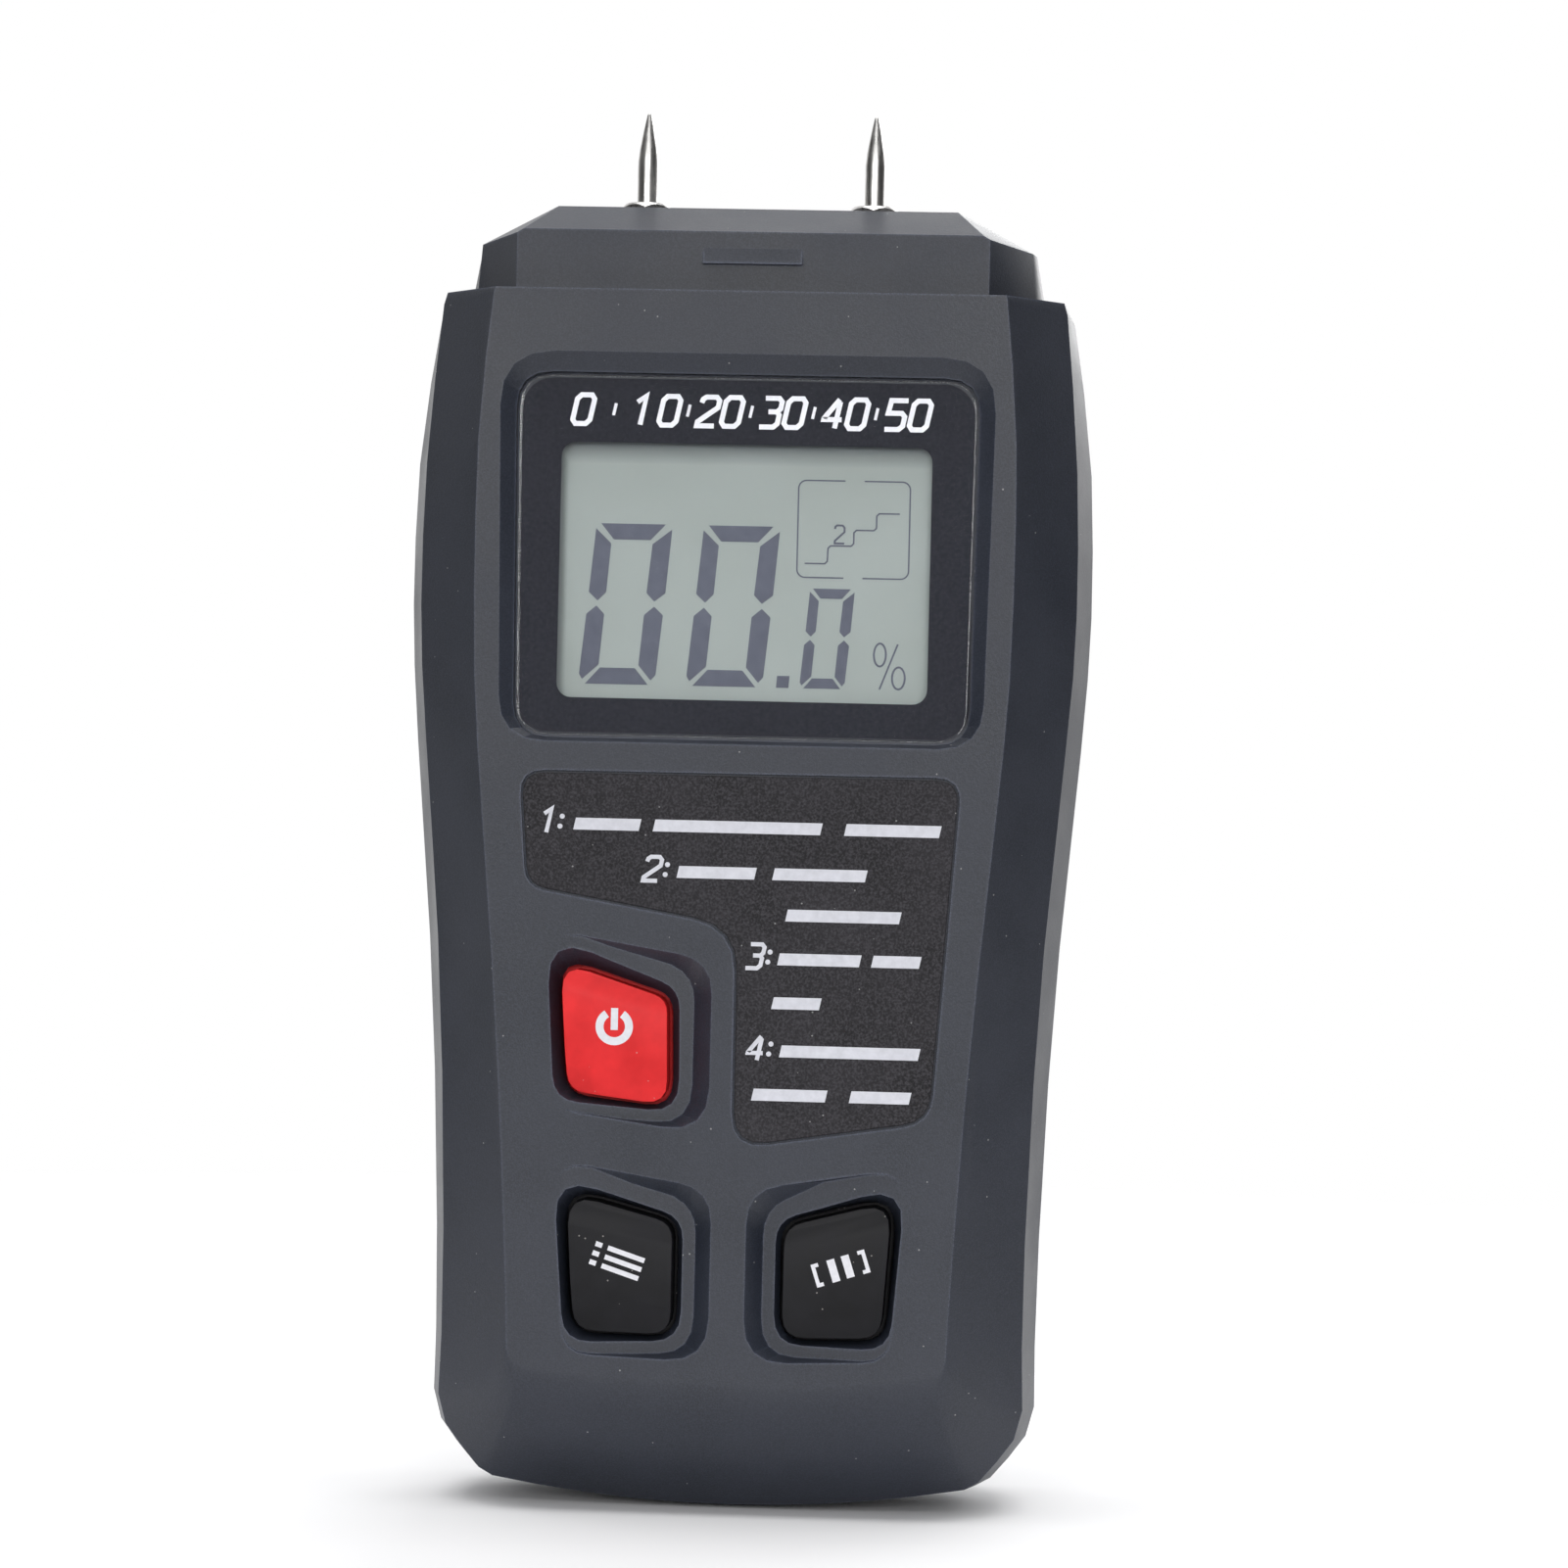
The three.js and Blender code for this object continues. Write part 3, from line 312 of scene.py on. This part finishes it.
def clear_acrylic(name):
    """Polished clear acrylic that lets lamps through to the display behind it."""
    material, tree, shader = new_material(name)
    smear = noise(tree, position(tree), 120, 4)
    shader.inputs["Base Color"].default_value = (0.97, 0.98, 0.98, 1)
    shader.inputs["Transmission Weight"].default_value = 1.0
    shader.inputs["IOR"].default_value = 1.49
    tree.links.new(remap(tree, smear, 0.4, 0.8, 0.01, 0.05), shader.inputs["Roughness"])
    through = node(tree, "ShaderNodeBsdfTransparent")
    path = node(tree, "ShaderNodeLightPath")
    mix = node(tree, "ShaderNodeMixShader")
    tree.links.new(path.outputs["Is Shadow Ray"], mix.inputs["Fac"])
    tree.links.new(shader.outputs[0], mix.inputs[1])
    tree.links.new(through.outputs[0], mix.inputs[2])
    tree.links.new(mix.outputs[0], tree.nodes["Material Output"].inputs["Surface"])
    return material


def make_materials():
    return {
        # the shell's edges, rims and creases get a painted highlight and wear
        "shell_plastic": moulded_plastic(
            "shell_plastic", linear(34, 38, 47), linear(52, 56, 68), roughness=0.4, wear_and_highlight=0.7
        ),
        "lens_acrylic": clear_acrylic("lens_acrylic"),
        "lens_print": plain_finish("lens_print", linear(30, 31, 39), 0.6, 2500, 0.0005, 0.15, sheen=0.1),
        "label_film": moulded_plastic(
            "label_film", linear(20, 19, 22), linear(70, 68, 73), grain=0.24, speck=0.05, bump=0.03, sheen=0.2
        ),
        "lcd_glass": display_glass("lcd_glass"),
        "lcd_ink": plain_finish("lcd_ink", linear(82, 85, 98), 0.5, 700, 0.0005, 0.12, sheen=0.15),
        "frame_plastic": moulded_plastic("frame_plastic", linear(28, 28, 31), linear(42, 42, 46)),
        "conductive_rubber": rubber(
            "conductive_rubber", linear(70, 70, 74), linear(100, 100, 104), 0.7
        ),
        "board_laminate": plain_finish(
            "board_laminate", linear(24, 92, 52), 0.35, 500, 0.004, 0.3, coat=0.3
        ),
        "black_epoxy": plain_finish("black_epoxy", linear(20, 20, 22), 0.3, 600, 0.01),
        "capacitor_sleeve": plain_finish("capacitor_sleeve", linear(34, 44, 84), 0.3, 500, 0.004),
        "screw_steel": metal("screw_steel", (0.56, 0.56, 0.57, 1), 0.34),
        "pin_steel": metal(
            "pin_steel", (0.8, 0.79, 0.77, 1), 0.32, streak=(1, 1, 0.03), scale=4000, bump=0.004
        ),
        "socket_nickel": metal("socket_nickel", (0.72, 0.71, 0.7, 1), 0.32),
        "lug_brass": metal("lug_brass", (0.66, 0.52, 0.26, 1), 0.35),
        "key_red_rubber": rubber(
            "key_red_rubber", linear(216, 30, 33), linear(238, 42, 45), 0.42, 0.03, 0.28
        ),
        "key_black_rubber": rubber(
            "key_black_rubber", linear(19, 19, 22), linear(27, 27, 31), 0.45, 0.1, 0.22
        ),
        "keypad_silicone": rubber("keypad_silicone", linear(40, 40, 44), linear(56, 56, 60), 0.65),
        "carbon_rubber": rubber("carbon_rubber", linear(18, 18, 20), linear(30, 30, 32), 0.8),
        "wire_white": plain_finish("wire_white", linear(220, 220, 214), 0.45),
        "wire_red": plain_finish("wire_red", linear(182, 32, 28), 0.45),
        "wire_black": plain_finish("wire_black", linear(24, 24, 26), 0.45),
        "battery_jacket": battery_jacket("battery_jacket"),
        "foam": plain_finish("foam", linear(34, 34, 38), 0.95, 1600, 0.15),
        "white_ink": plain_finish("white_ink", linear(222, 222, 228), 0.45, 1800, 0.004, 0.1),
        "silver_ink": plain_finish("silver_ink", linear(205, 206, 214), 0.4, 1500, 0.004, 0.15),
    }


# ---------- finishing the CAD pieces ----------
EDGE_WIDTHS = {  # rounding of each piece's edges, in millimetres
    "front_shell": 0.3,
    "rear_shell": 0.35,
    "display_lens": 0.18,
    "power_key": 0.55,
    "mode_key": 0.55,
    "hold_key": 0.55,
    "battery": 0.3,
    "battery_snap": 0.3,
}
SMALL_EDGE = 0.08
FLAT_SHADED = {"battery_door"}  # thin ribs in a recess, too fine for rounded shading
WELD_DISTANCE = 0.002 * MM
FLAT_ANGLE = math.radians(0.6)  # faces that turn by less are one flat
EDGE_ANGLE = math.radians(22)  # faces that turn by more meet at an edge


def finish_node(name, material):
    """Gives a CAD piece its material, rounded edges and smooth shading; its own mesh stays as it is."""
    piece = NODES[name]
    piece.data.materials.clear()
    piece.data.materials.append(material)
    for polygon in piece.data.polygons:
        polygon.use_smooth = name not in FLAT_SHADED
    if name in FLAT_SHADED:
        return
    weld = piece.modifiers.new("weld", "WELD")
    weld.merge_threshold = WELD_DISTANCE
    flatten = piece.modifiers.new("flatten", "DECIMATE")
    flatten.decimate_type = "DISSOLVE"
    flatten.angle_limit = FLAT_ANGLE
    bevel = piece.modifiers.new("edges", "BEVEL")
    bevel.width = EDGE_WIDTHS.get(name, SMALL_EDGE) * MM
    bevel.segments = 3 if name in EDGE_WIDTHS else 2
    bevel.limit_method = "ANGLE"
    bevel.angle_limit = EDGE_ANGLE
    bevel.use_clamp_overlap = True
    bevel.miter_outer = "MITER_ARC"
    bevel.harden_normals = False
    normals = piece.modifiers.new("normals", "WEIGHTED_NORMAL")
    normals.keep_sharp = True
    normals.weight = 80


# ---------- prints and display content ----------
# Flat work is drawn in millimetres in X and Z, and the Y of its face comes from the piece that it lies on.
SLANT = math.tan(math.radians(12))
SHARPEST_MITRE = 0.45  # cosine at which a stroke's corner stops growing
SURFACES = {}


def face_y(name):
    """The front of a CAD piece, in millimetres."""
    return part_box(name)[0][1] / MM


def surface_y(name, x, z):
    """How far forward the finished surface of a CAD piece is at x and z, in millimetres."""
    if name not in SURFACES:
        graph = bpy.context.evaluated_depsgraph_get()
        piece = NODES[name]
        made = piece.evaluated_get(graph).to_mesh()
        made.transform(piece.matrix_world)
        SURFACES[name] = BVHTree.FromPolygons(
            [v.co.copy() for v in made.vertices], [tuple(p.vertices) for p in made.polygons]
        )
        piece.evaluated_get(graph).to_mesh_clear()
    before_piece = -60
    hit = SURFACES[name].ray_cast(Vector((x, before_piece, z)) * MM, Vector((0, 1, 0)))
    return hit[0].y / MM


def new_piece(name, bm, material, body):
    bmesh.ops.recalc_face_normals(bm, faces=bm.faces)
    mesh = bpy.data.meshes.new(name)
    bm.to_mesh(mesh)
    bm.free()
    mesh.materials.append(MATERIALS[material])
    piece = bpy.data.objects.new(name, mesh)
    bpy.context.scene.collection.objects.link(piece)
    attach(piece, body)
    return piece


def add_slab(bm, outline, front, back):
    """Makes a closed outline solid between two depths."""
    low = [bm.verts.new(Vector((x, front, z)) * MM) for x, z in outline]
    high = [bm.verts.new(Vector((x, back, z)) * MM) for x, z in outline]
    bm.faces.new(low)
    bm.faces.new(high[::-1])
    count = len(outline)
    for i in range(count):
        j = (i + 1) % count
        bm.faces.new((low[j], low[i], high[i], high[j]))


def add_ring(bm, outer, inner, front, back):
    """The solid between two outlines of as many points each."""
    loops = [
        [bm.verts.new(Vector((x, y, z)) * MM) for x, z in outline]
        for y, outline in ((front, outer), (front, inner), (back, inner), (back, outer))
    ]
    count = len(outer)
    for a, b in zip(loops, loops[1:] + loops[:1]):
        for i in range(count):
            j = (i + 1) % count
            bm.faces.new((a[i], a[j], b[j], b[i]))


def stroke_sides(points, width, closed):
    """The two edges of a line of even width, mitred at its bends."""
    points = [Vector(p) for p in points]
    count = len(points)
    left, right = [], []
    for i, here in enumerate(points):
        before = points[i - 1] if closed or i else None
        after = points[(i + 1) % count] if closed or i < count - 1 else None
        legs = [(a, b) for a, b in ((before, here), (here, after)) if a is not None and b is not None]
        ways = [(b - a).normalized() for a, b in legs]
        normals = [Vector((-w.y, w.x)) for w in ways]
        middle = sum(normals, Vector((0, 0))).normalized()
        reach = width / 2 / max(SHARPEST_MITRE, middle.dot(normals[0]))
        left.append(here + middle * reach)
        right.append(here - middle * reach)
    return left, right


def add_stroke(bm, points, width, depth_at, raised, closed=False):
    """A line drawn on a surface: depth_at gives the surface, and the line stands out of it by raised."""
    left, right = stroke_sides(points, width, closed)
    rows = []
    for a, b in zip(left, right):
        row = []
        for p in (a, b):
            y = depth_at(p.x, p.y)
            row.append(bm.verts.new(Vector((p.x, y - raised, p.y)) * MM))
            row.append(bm.verts.new(Vector((p.x, y + raised / 2, p.y)) * MM))
        rows.append((row[0], row[2], row[3], row[1]))
    count = len(rows)
    for i in range(count if closed else count - 1):
        here, after = rows[i], rows[(i + 1) % count]
        for k in range(4):
            bm.faces.new((here[k], here[(k + 1) % 4], after[(k + 1) % 4], after[k]))
    if not closed:
        bm.faces.new(rows[0][::-1])
        bm.faces.new(rows[-1])


def resample(points, step):
    """The same line with points no further apart than step."""
    made = [points[0]]
    for a, b in zip(points, points[1:]):
        parts = max(1, math.ceil(math.dist(a, b) / step))
        made += [tuple(p + (q - p) * i / parts for p, q in zip(a, b)) for i in range(1, parts + 1)]
    return made


def rounded_box(x0, x1, z0, z1, radius, steps=6):
    made = []
    for cx, cz, start in (
        (x1 - radius, z1 - radius, 0), (x0 + radius, z1 - radius, 90),
        (x0 + radius, z0 + radius, 180), (x1 - radius, z0 + radius, 270),
    ):
        for i in range(steps + 1):
            angle = math.radians(start + 90 * i / steps)
            made.append((cx + radius * math.cos(angle), cz + radius * math.sin(angle)))
    return made


def arc(cx, cz, rx, rz, start, end, steps):
    turns = [math.radians(start + (end - start) * i / steps) for i in range(steps + 1)]
    return [(cx + rx * math.cos(t), cz + rz * math.sin(t)) for t in turns]


# Numerals as lines in a box 0.6 wide and 1 high, each with whether it closes on itself.
NUMERALS = {
    "0": [(
        [(0.12, 0), (0.48, 0), (0.6, 0.14), (0.6, 0.86), (0.48, 1), (0.12, 1), (0, 0.86), (0, 0.14)], True,
    )],
    "1": [([(0.1, 0.78), (0.36, 1), (0.36, 0)], False)],
    "2": [(
        [(0, 0.8), (0.02, 0.92), (0.12, 1), (0.48, 1), (0.6, 0.88), (0.6, 0.64), (0, 0.14), (0, 0), (0.6, 0)],
        False,
    )],
    "3": [
        ([(0, 1), (0.48, 1), (0.6, 0.88), (0.6, 0.64), (0.5, 0.53), (0.2, 0.53)], False),
        ([(0.5, 0.53), (0.6, 0.42), (0.6, 0.12), (0.48, 0), (0, 0)], False),
    ],
    "4": [([(0.44, 0), (0.44, 0.92)], False), ([(0.4, 1), (0, 0.34), (0, 0.3), (0.62, 0.3)], False)],
    "5": [(
        [(0.6, 1), (0.02, 1), (0, 0.56), (0.48, 0.56), (0.6, 0.44), (0.6, 0.12), (0.48, 0), (0, 0)], False,
    )],
}


def add_numeral(bm, digit, x, z, height, width, depth_at, raised):
    """A printed numeral; where its lines cross, the later one lies a little higher."""
    for i, (line, closed) in enumerate(NUMERALS[digit]):
        placed = [(x + (u + v * SLANT) * height, z + v * height) for u, v in line]
        add_stroke(bm, placed, width, depth_at, raised * (1 + 0.3 * i), closed)


def add_bar(bm, x0, x1, z, height, depth_at, raised):
    """A plain slanted bar that stands for an entry of the printed list."""
    half = height / 2
    shift = SLANT * half
    outline = [(x0 - shift, z - half), (x1 - shift, z - half), (x1 + shift, z + half), (x0 + shift, z + half)]
    y = depth_at(x0, z)
    add_slab(bm, outline, y - raised, y + raised / 2)


PRINT_RAISED = 0.03  # how far print stands out of what it lies on, in millimetres
SCALE = {"first_x": -17.8, "pitch": 6.3, "low": 109.5, "height": 2.9, "digit_pitch": 2.4, "stroke": 0.5}


def make_lens_print():
    """The black border on the back of the lens, and a plain graduated scale above the window."""
    lens_low, lens_high = (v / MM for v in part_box("display_lens"))
    back = lens_high.y
    bm = bmesh.new()
    edge = 0.25
    outer = rounded_box(lens_low.x + edge, lens_high.x - edge, lens_low.z + edge, lens_high.z - edge, 3)
    window = rounded_box(-18.75, 18.6, 81.95, 107.7, 1.5)
    add_ring(bm, outer, window, back + 0.09, back + 0.15)
    new_piece("lens_border", bm, "lens_print", "case")

    bm = bmesh.new()
    texts = ("0", "10", "20", "30", "40", "50")
    low = SCALE["low"]

    def flat(x, z):
        return back + 0.06

    for i, text in enumerate(texts):
        x = SCALE["first_x"] + SCALE["pitch"] * i
        for k, digit in enumerate(text):
            narrow = 0.45 if digit == "1" else 0
            at = x + k * SCALE["digit_pitch"] - narrow
            add_numeral(bm, digit, at, low, SCALE["height"], SCALE["stroke"], flat, PRINT_RAISED)
        if i < len(texts) - 1:
            mark = x + (4.2 if i == 0 else 5.35)
            add_stroke(bm, [(mark, low + 0.9), (mark + 0.26, low + 2.1)], 0.3, flat, PRINT_RAISED)
    new_piece("scale_print", bm, "white_ink", "case")


# The display's figures, as seen through the lens: a large digit, and where the others stand.
BIG_DIGIT = [
    [(-14.4, 99.4), (-7.9, 99.4), (-9.4, 97.8), (-13.1, 97.8)],
    [(-14.9, 98.9), (-13.35, 97.4), (-13.75, 92.5), (-14.6, 91.65), (-15.5, 92.5)],
    [(-7.25, 98.9), (-7.8, 92.5), (-8.9, 91.65), (-9.7, 92.5), (-9.2, 97.4)],
    [(-14.7, 91.15), (-13.9, 90.3), (-14.35, 85.25), (-16.0, 83.75), (-16.3, 84.3), (-15.7, 90.3)],
    [(-8.9, 91.15), (-8.0, 90.3), (-8.6, 84.3), (-9.1, 83.75), (-10.35, 85.25), (-9.9, 90.3)],
    [(-15.7, 83.3), (-9.35, 83.3), (-10.7, 84.95), (-14.2, 84.95)],
]
BIG_PITCH = 10.8
SMALL_LOW, SMALL_SCALE = (6.05, 83.3), (0.585, 0.621)
POINT = [(3.5, 83.3), (4.75, 83.3), (4.85, 84.5), (3.6, 84.5)]


def make_display_figures():
    """The reading, the percent sign and the small framed symbol on the face of the display."""
    lcd = face_y("lcd_panel")
    depth = lcd - face_y("front_shell")
    grow = 1 + depth * MM / VIEW_DISTANCE
    shift = depth * math.sin(VIEW_AZIMUTH)

    def place(p):
        """Where a point seen in the plane of the panel lies on the display glass."""
        return (p[0] * grow - shift, LOOK_AT.z / MM + (p[1] - LOOK_AT.z / MM) * grow)

    bm = bmesh.new()
    front, back = lcd - 0.05, lcd + 0.01
    low_x, low_z = -16.0, 83.3
    for segment in BIG_DIGIT:
        for number in range(2):
            add_slab(bm, [place((x + BIG_PITCH * number, z)) for x, z in segment], front, back)
        small = [
            (SMALL_LOW[0] + (x - low_x) * SMALL_SCALE[0], SMALL_LOW[1] + (z - low_z) * SMALL_SCALE[1])
            for x, z in segment
        ]
        add_slab(bm, [place(p) for p in small], front, back)
    add_slab(bm, [place(p) for p in POINT], front, back)

    def flat(x, z):
        return lcd - 0.02

    def line(points, width, closed=False):
        add_stroke(bm, [place(p) for p in points], width, flat, 0.025, closed)

    for cx, cz, rx, rz in ((13.83, 86.8, 0.6, 1.15), (15.73, 84.5, 0.64, 1.1)):
        line(arc(cx, cz, rx, rz, 0, 360 - 360 / 24, 23), 0.2, True)
    line([(15.6, 87.9), (13.85, 83.35)], 0.18)
    frame_low, frame_high, middle_x, middle_z = 94.4, 104.1, 10.9, 99
    corners = rounded_box(5.33, 16.5, frame_low, frame_high, 0.8)
    left = [p for p in corners if p[0] < middle_x]
    right = [p for p in corners if p[0] > middle_x]
    top = [p for p in right if p[1] > middle_z]
    foot = [p for p in right if p[1] < middle_z]
    line([(10.0, frame_high)] + left + [(10.0, frame_low)], 0.15)
    line([(11.9, frame_low)] + foot + top + [(11.9, frame_high)], 0.15)
    steps = [
        (6.1, 95.8), (8.1, 95.8), (8.35, 96.05), (8.4, 97.35), (8.65, 97.6), (10.7, 97.6), (10.95, 97.85),
        (10.95, 98.95), (11.2, 99.2), (12.95, 99.2), (13.2, 99.45), (13.2, 100.65), (13.45, 100.9),
        (15.5, 100.9),
    ]
    line(steps, 0.16)
    numeral = [(u * 1.6, v * 1.8) for u, v in NUMERALS["2"][0][0]]
    line([(9.05 + u, 97.85 + v) for u, v in numeral], 0.2)
    new_piece("display_figures", bm, "lcd_ink", "case")


# Each printed row of the label: the numeral and where it starts, the row's middle, and its bars.
LABEL_ROWS = [
    ("1", -20.1, 69.5, [(-16.4, -9.8), (-8.4, 8.4), (10.8, 20.3)]),
    ("2", -9.4, 64.9, [(-5.9, 1.9), (3.7, 13.0)]),
    (None, 0, 60.8, [(5.1, 16.5)]),
    ("3", 1.1, 56.4, [(4.4, 12.6), (13.8, 18.6)]),
    (None, 0, 52.0, [(3.9, 8.7)]),
    ("4", 1.4, 47.2, [(4.8, 18.7)]),
    (None, 0, 42.8, [(2.1, 9.5), (11.9, 17.9)]),
]
NUMERAL_HEIGHT = 2.4
BAR_HEIGHT = 1.2


def make_label_print():
    """The printed list on the label: each row's numeral, its colon and its plain bars."""
    front = face_y("function_label")
    foot = NUMERAL_HEIGHT / 2
    colon_x, dot_radius = 2.35, 0.26
    bm = bmesh.new()

    def flat(x, z):
        return front

    for numeral, x, middle, bars in LABEL_ROWS:
        if numeral:
            add_numeral(bm, numeral, x, middle - foot, NUMERAL_HEIGHT, 0.42, flat, PRINT_RAISED)
            for dot in (-0.55, 0.45):
                outline = arc(x + colon_x + dot * SLANT, middle + dot, dot_radius, dot_radius, 0, 330, 11)
                add_slab(bm, outline, front - PRINT_RAISED, front + PRINT_RAISED / 2)
        for start, end in bars:
            add_bar(bm, start, end, middle - 0.25, BAR_HEIGHT, flat, PRINT_RAISED)
    new_piece("label_print", bm, "silver_ink", "case")


def tilted(cx, cz, degrees, lines):
    """Lines drawn about the origin, turned and moved to a place on the face."""
    turn = math.radians(degrees)
    c, s = math.cos(turn), math.sin(turn)
    return [([(cx + x * c - z * s, cz + x * s + z * c) for x, z in line], width) for line, width in lines]


def make_key_prints():
    """A power symbol, a list symbol and a pause symbol, each following the facets of its key."""
    spacing = 0.28  # between the points at which a line meets its key

    def drawn(name, key, body, lines):
        bm = bmesh.new()
        for points, width in lines:
            line = resample(points, spacing)
            add_stroke(bm, line, width, lambda x, z: surface_y(key, x, z), PRINT_RAISED)
        new_piece(name, bm, "white_ink", body)

    cx, cz = -11.92, 49.0
    ring = arc(cx, cz, 1.48, 1.48, 122, 418, 40)
    bar = [(cx, cz - 0.35), (cx, cz + 1.85)]
    drawn("power_symbol", "power_key", "power_button", [(ring, 0.8), (bar, 0.72)])

    rows = (-0.95, 0, 0.95)
    menu = [([(-2.6, h), (-1.9, h)], 0.5) for h in rows]
    menu += [([(-1.3, h), (2.6, h)], 0.5) for h in rows]
    drawn("mode_symbol", "mode_key", "mode_button", tilted(-11.1, 25.5, -18, menu))
    pause = [([(-0.75, -1.15), (-0.75, 1.15)], 0.8), ([(0.75, -1.15), (0.75, 1.15)], 0.8)]
    pause += [([(-2.05, -1.0), (-2.6, -1.0), (-2.6, 1.0), (-2.05, 1.0)], 0.38)]
    pause += [([(2.05, -1.0), (2.6, -1.0), (2.6, 1.0), (2.05, 1.0)], 0.38)]
    drawn("hold_symbol", "hold_key", "hold_button", tilted(11.35, 25.4, 18, pause))


def make_domes():
    """The rubber domes under the keys, each a copy with a mesh of its own in place of its hidden CAD piece.
    """
    for key in ("power", "mode", "hold"):
        source = NODES[f"{key}_dome"]
        piece = bpy.data.objects.new(f"{key}_dome_rubber", source.data.copy())
        piece.matrix_world = source.matrix_world.copy()
        bpy.context.scene.collection.objects.link(piece)
        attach(piece, "case")
        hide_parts(f"{key}_dome")
        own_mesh(piece)


# ---------- stage ----------
def make_floor():
    """A pale floor that fades out into the backdrop, so no horizon shows."""
    size, fade_from, fade_to = 1.2, 0.1, 0.42
    mesh = bpy.data.meshes.new("floor")
    mesh.from_pydata(
        [(-size, -size, 0), (size, -size, 0), (size, size, 0), (-size, size, 0)], [], [(0, 1, 2, 3)]
    )
    floor = bpy.data.objects.new("floor", mesh)
    bpy.context.scene.collection.objects.link(floor)
    material, tree, shader = new_material("floor")
    shader.inputs["Base Color"].default_value = (0.92, 0.92, 0.93, 1)
    shader.inputs["Roughness"].default_value = 0.9
    where = position(tree)
    length = node(tree, "ShaderNodeVectorMath", operation="LENGTH")
    tree.links.new(where, length.inputs[0])
    fade = remap(tree, length.outputs["Value"], fade_from, fade_to, 0.0, 1.0)
    clear = node(tree, "ShaderNodeBsdfTransparent")
    mix = node(tree, "ShaderNodeMixShader")
    tree.links.new(fade, mix.inputs["Fac"])
    tree.links.new(shader.outputs[0], mix.inputs[1])
    tree.links.new(clear.outputs[0], mix.inputs[2])
    tree.links.new(mix.outputs[0], tree.nodes["Material Output"].inputs["Surface"])
    mesh.materials.append(material)


def area_light(name, place, size, power):
    """A rectangular lamp that faces the middle of the case."""
    middle = Vector((0, 0, 0.07))
    data = bpy.data.lights.new(name, "AREA")
    data.shape = "RECTANGLE"
    data.size, data.size_y = size
    data.energy = power
    lamp = bpy.data.objects.new(name, data)
    lamp.location = place
    lamp.rotation_euler = (middle - Vector(place)).to_track_quat("-Z", "Y").to_euler()
    bpy.context.scene.collection.objects.link(lamp)


def make_lights():
    """Bright surroundings behind and above, two soft boxes in front, and softer ones above and behind."""
    world = bpy.data.worlds.new("studio")
    bpy.context.scene.world = world
    world.use_nodes = True
    tree = world.node_tree
    background = tree.nodes["Background"]
    around = node(tree, "ShaderNodeTexCoord").outputs["Generated"]
    split = node(tree, "ShaderNodeSeparateXYZ")
    tree.links.new(around, split.inputs[0])
    behind = remap(tree, split.outputs["Y"], 0.25, 0.8, 0.0, 1.0)
    above = remap(tree, split.outputs["Z"], 0.35, 0.95, 0.0, 1.0)
    bright = math_node(tree, "MAXIMUM", behind, math_node(tree, "MULTIPLY", above, 0.6))
    tree.links.new(remap(tree, bright, 0.0, 1.0, 0.04, 1.15), background.inputs["Strength"])
    background.inputs["Color"].default_value = (1, 1, 1, 1)
    seen = node(tree, "ShaderNodeBackground", Strength=1.0)
    seen.inputs["Color"].default_value = (1, 1, 1, 1)
    path = node(tree, "ShaderNodeLightPath")
    mix = node(tree, "ShaderNodeMixShader")
    tree.links.new(path.outputs["Is Camera Ray"], mix.inputs["Fac"])
    tree.links.new(background.outputs[0], mix.inputs[1])
    tree.links.new(seen.outputs[0], mix.inputs[2])
    tree.links.new(mix.outputs[0], tree.nodes["World Output"].inputs["Surface"])
    area_light("left_light", (-0.38, -1.15, 0.26), (0.3, 0.34), 2.7)
    area_light("right_light", (0.25, -1.15, 0.26), (0.3, 0.34), 3.2)
    area_light("upper_light", (0.0, -0.9, 0.7), (0.7, 0.3), 1.2)
    area_light("top_light", (0, -0.05, 0.8), (0.7, 0.4), 3.6)
    area_light("back_light", (0.3, 0.9, 0.5), (0.8, 0.6), 4)
    bpy.context.scene.view_settings.view_transform = "Standard"


# ---------- build ----------
make_camera()
MATERIALS = make_materials()
for subpart in frame["record"]["subparts"]:
    finish_node(subpart["node"], MATERIALS[subpart["material_slot"]])
make_lens_print()
make_display_figures()
make_label_print()
make_key_prints()
make_domes()
make_floor()
make_lights()
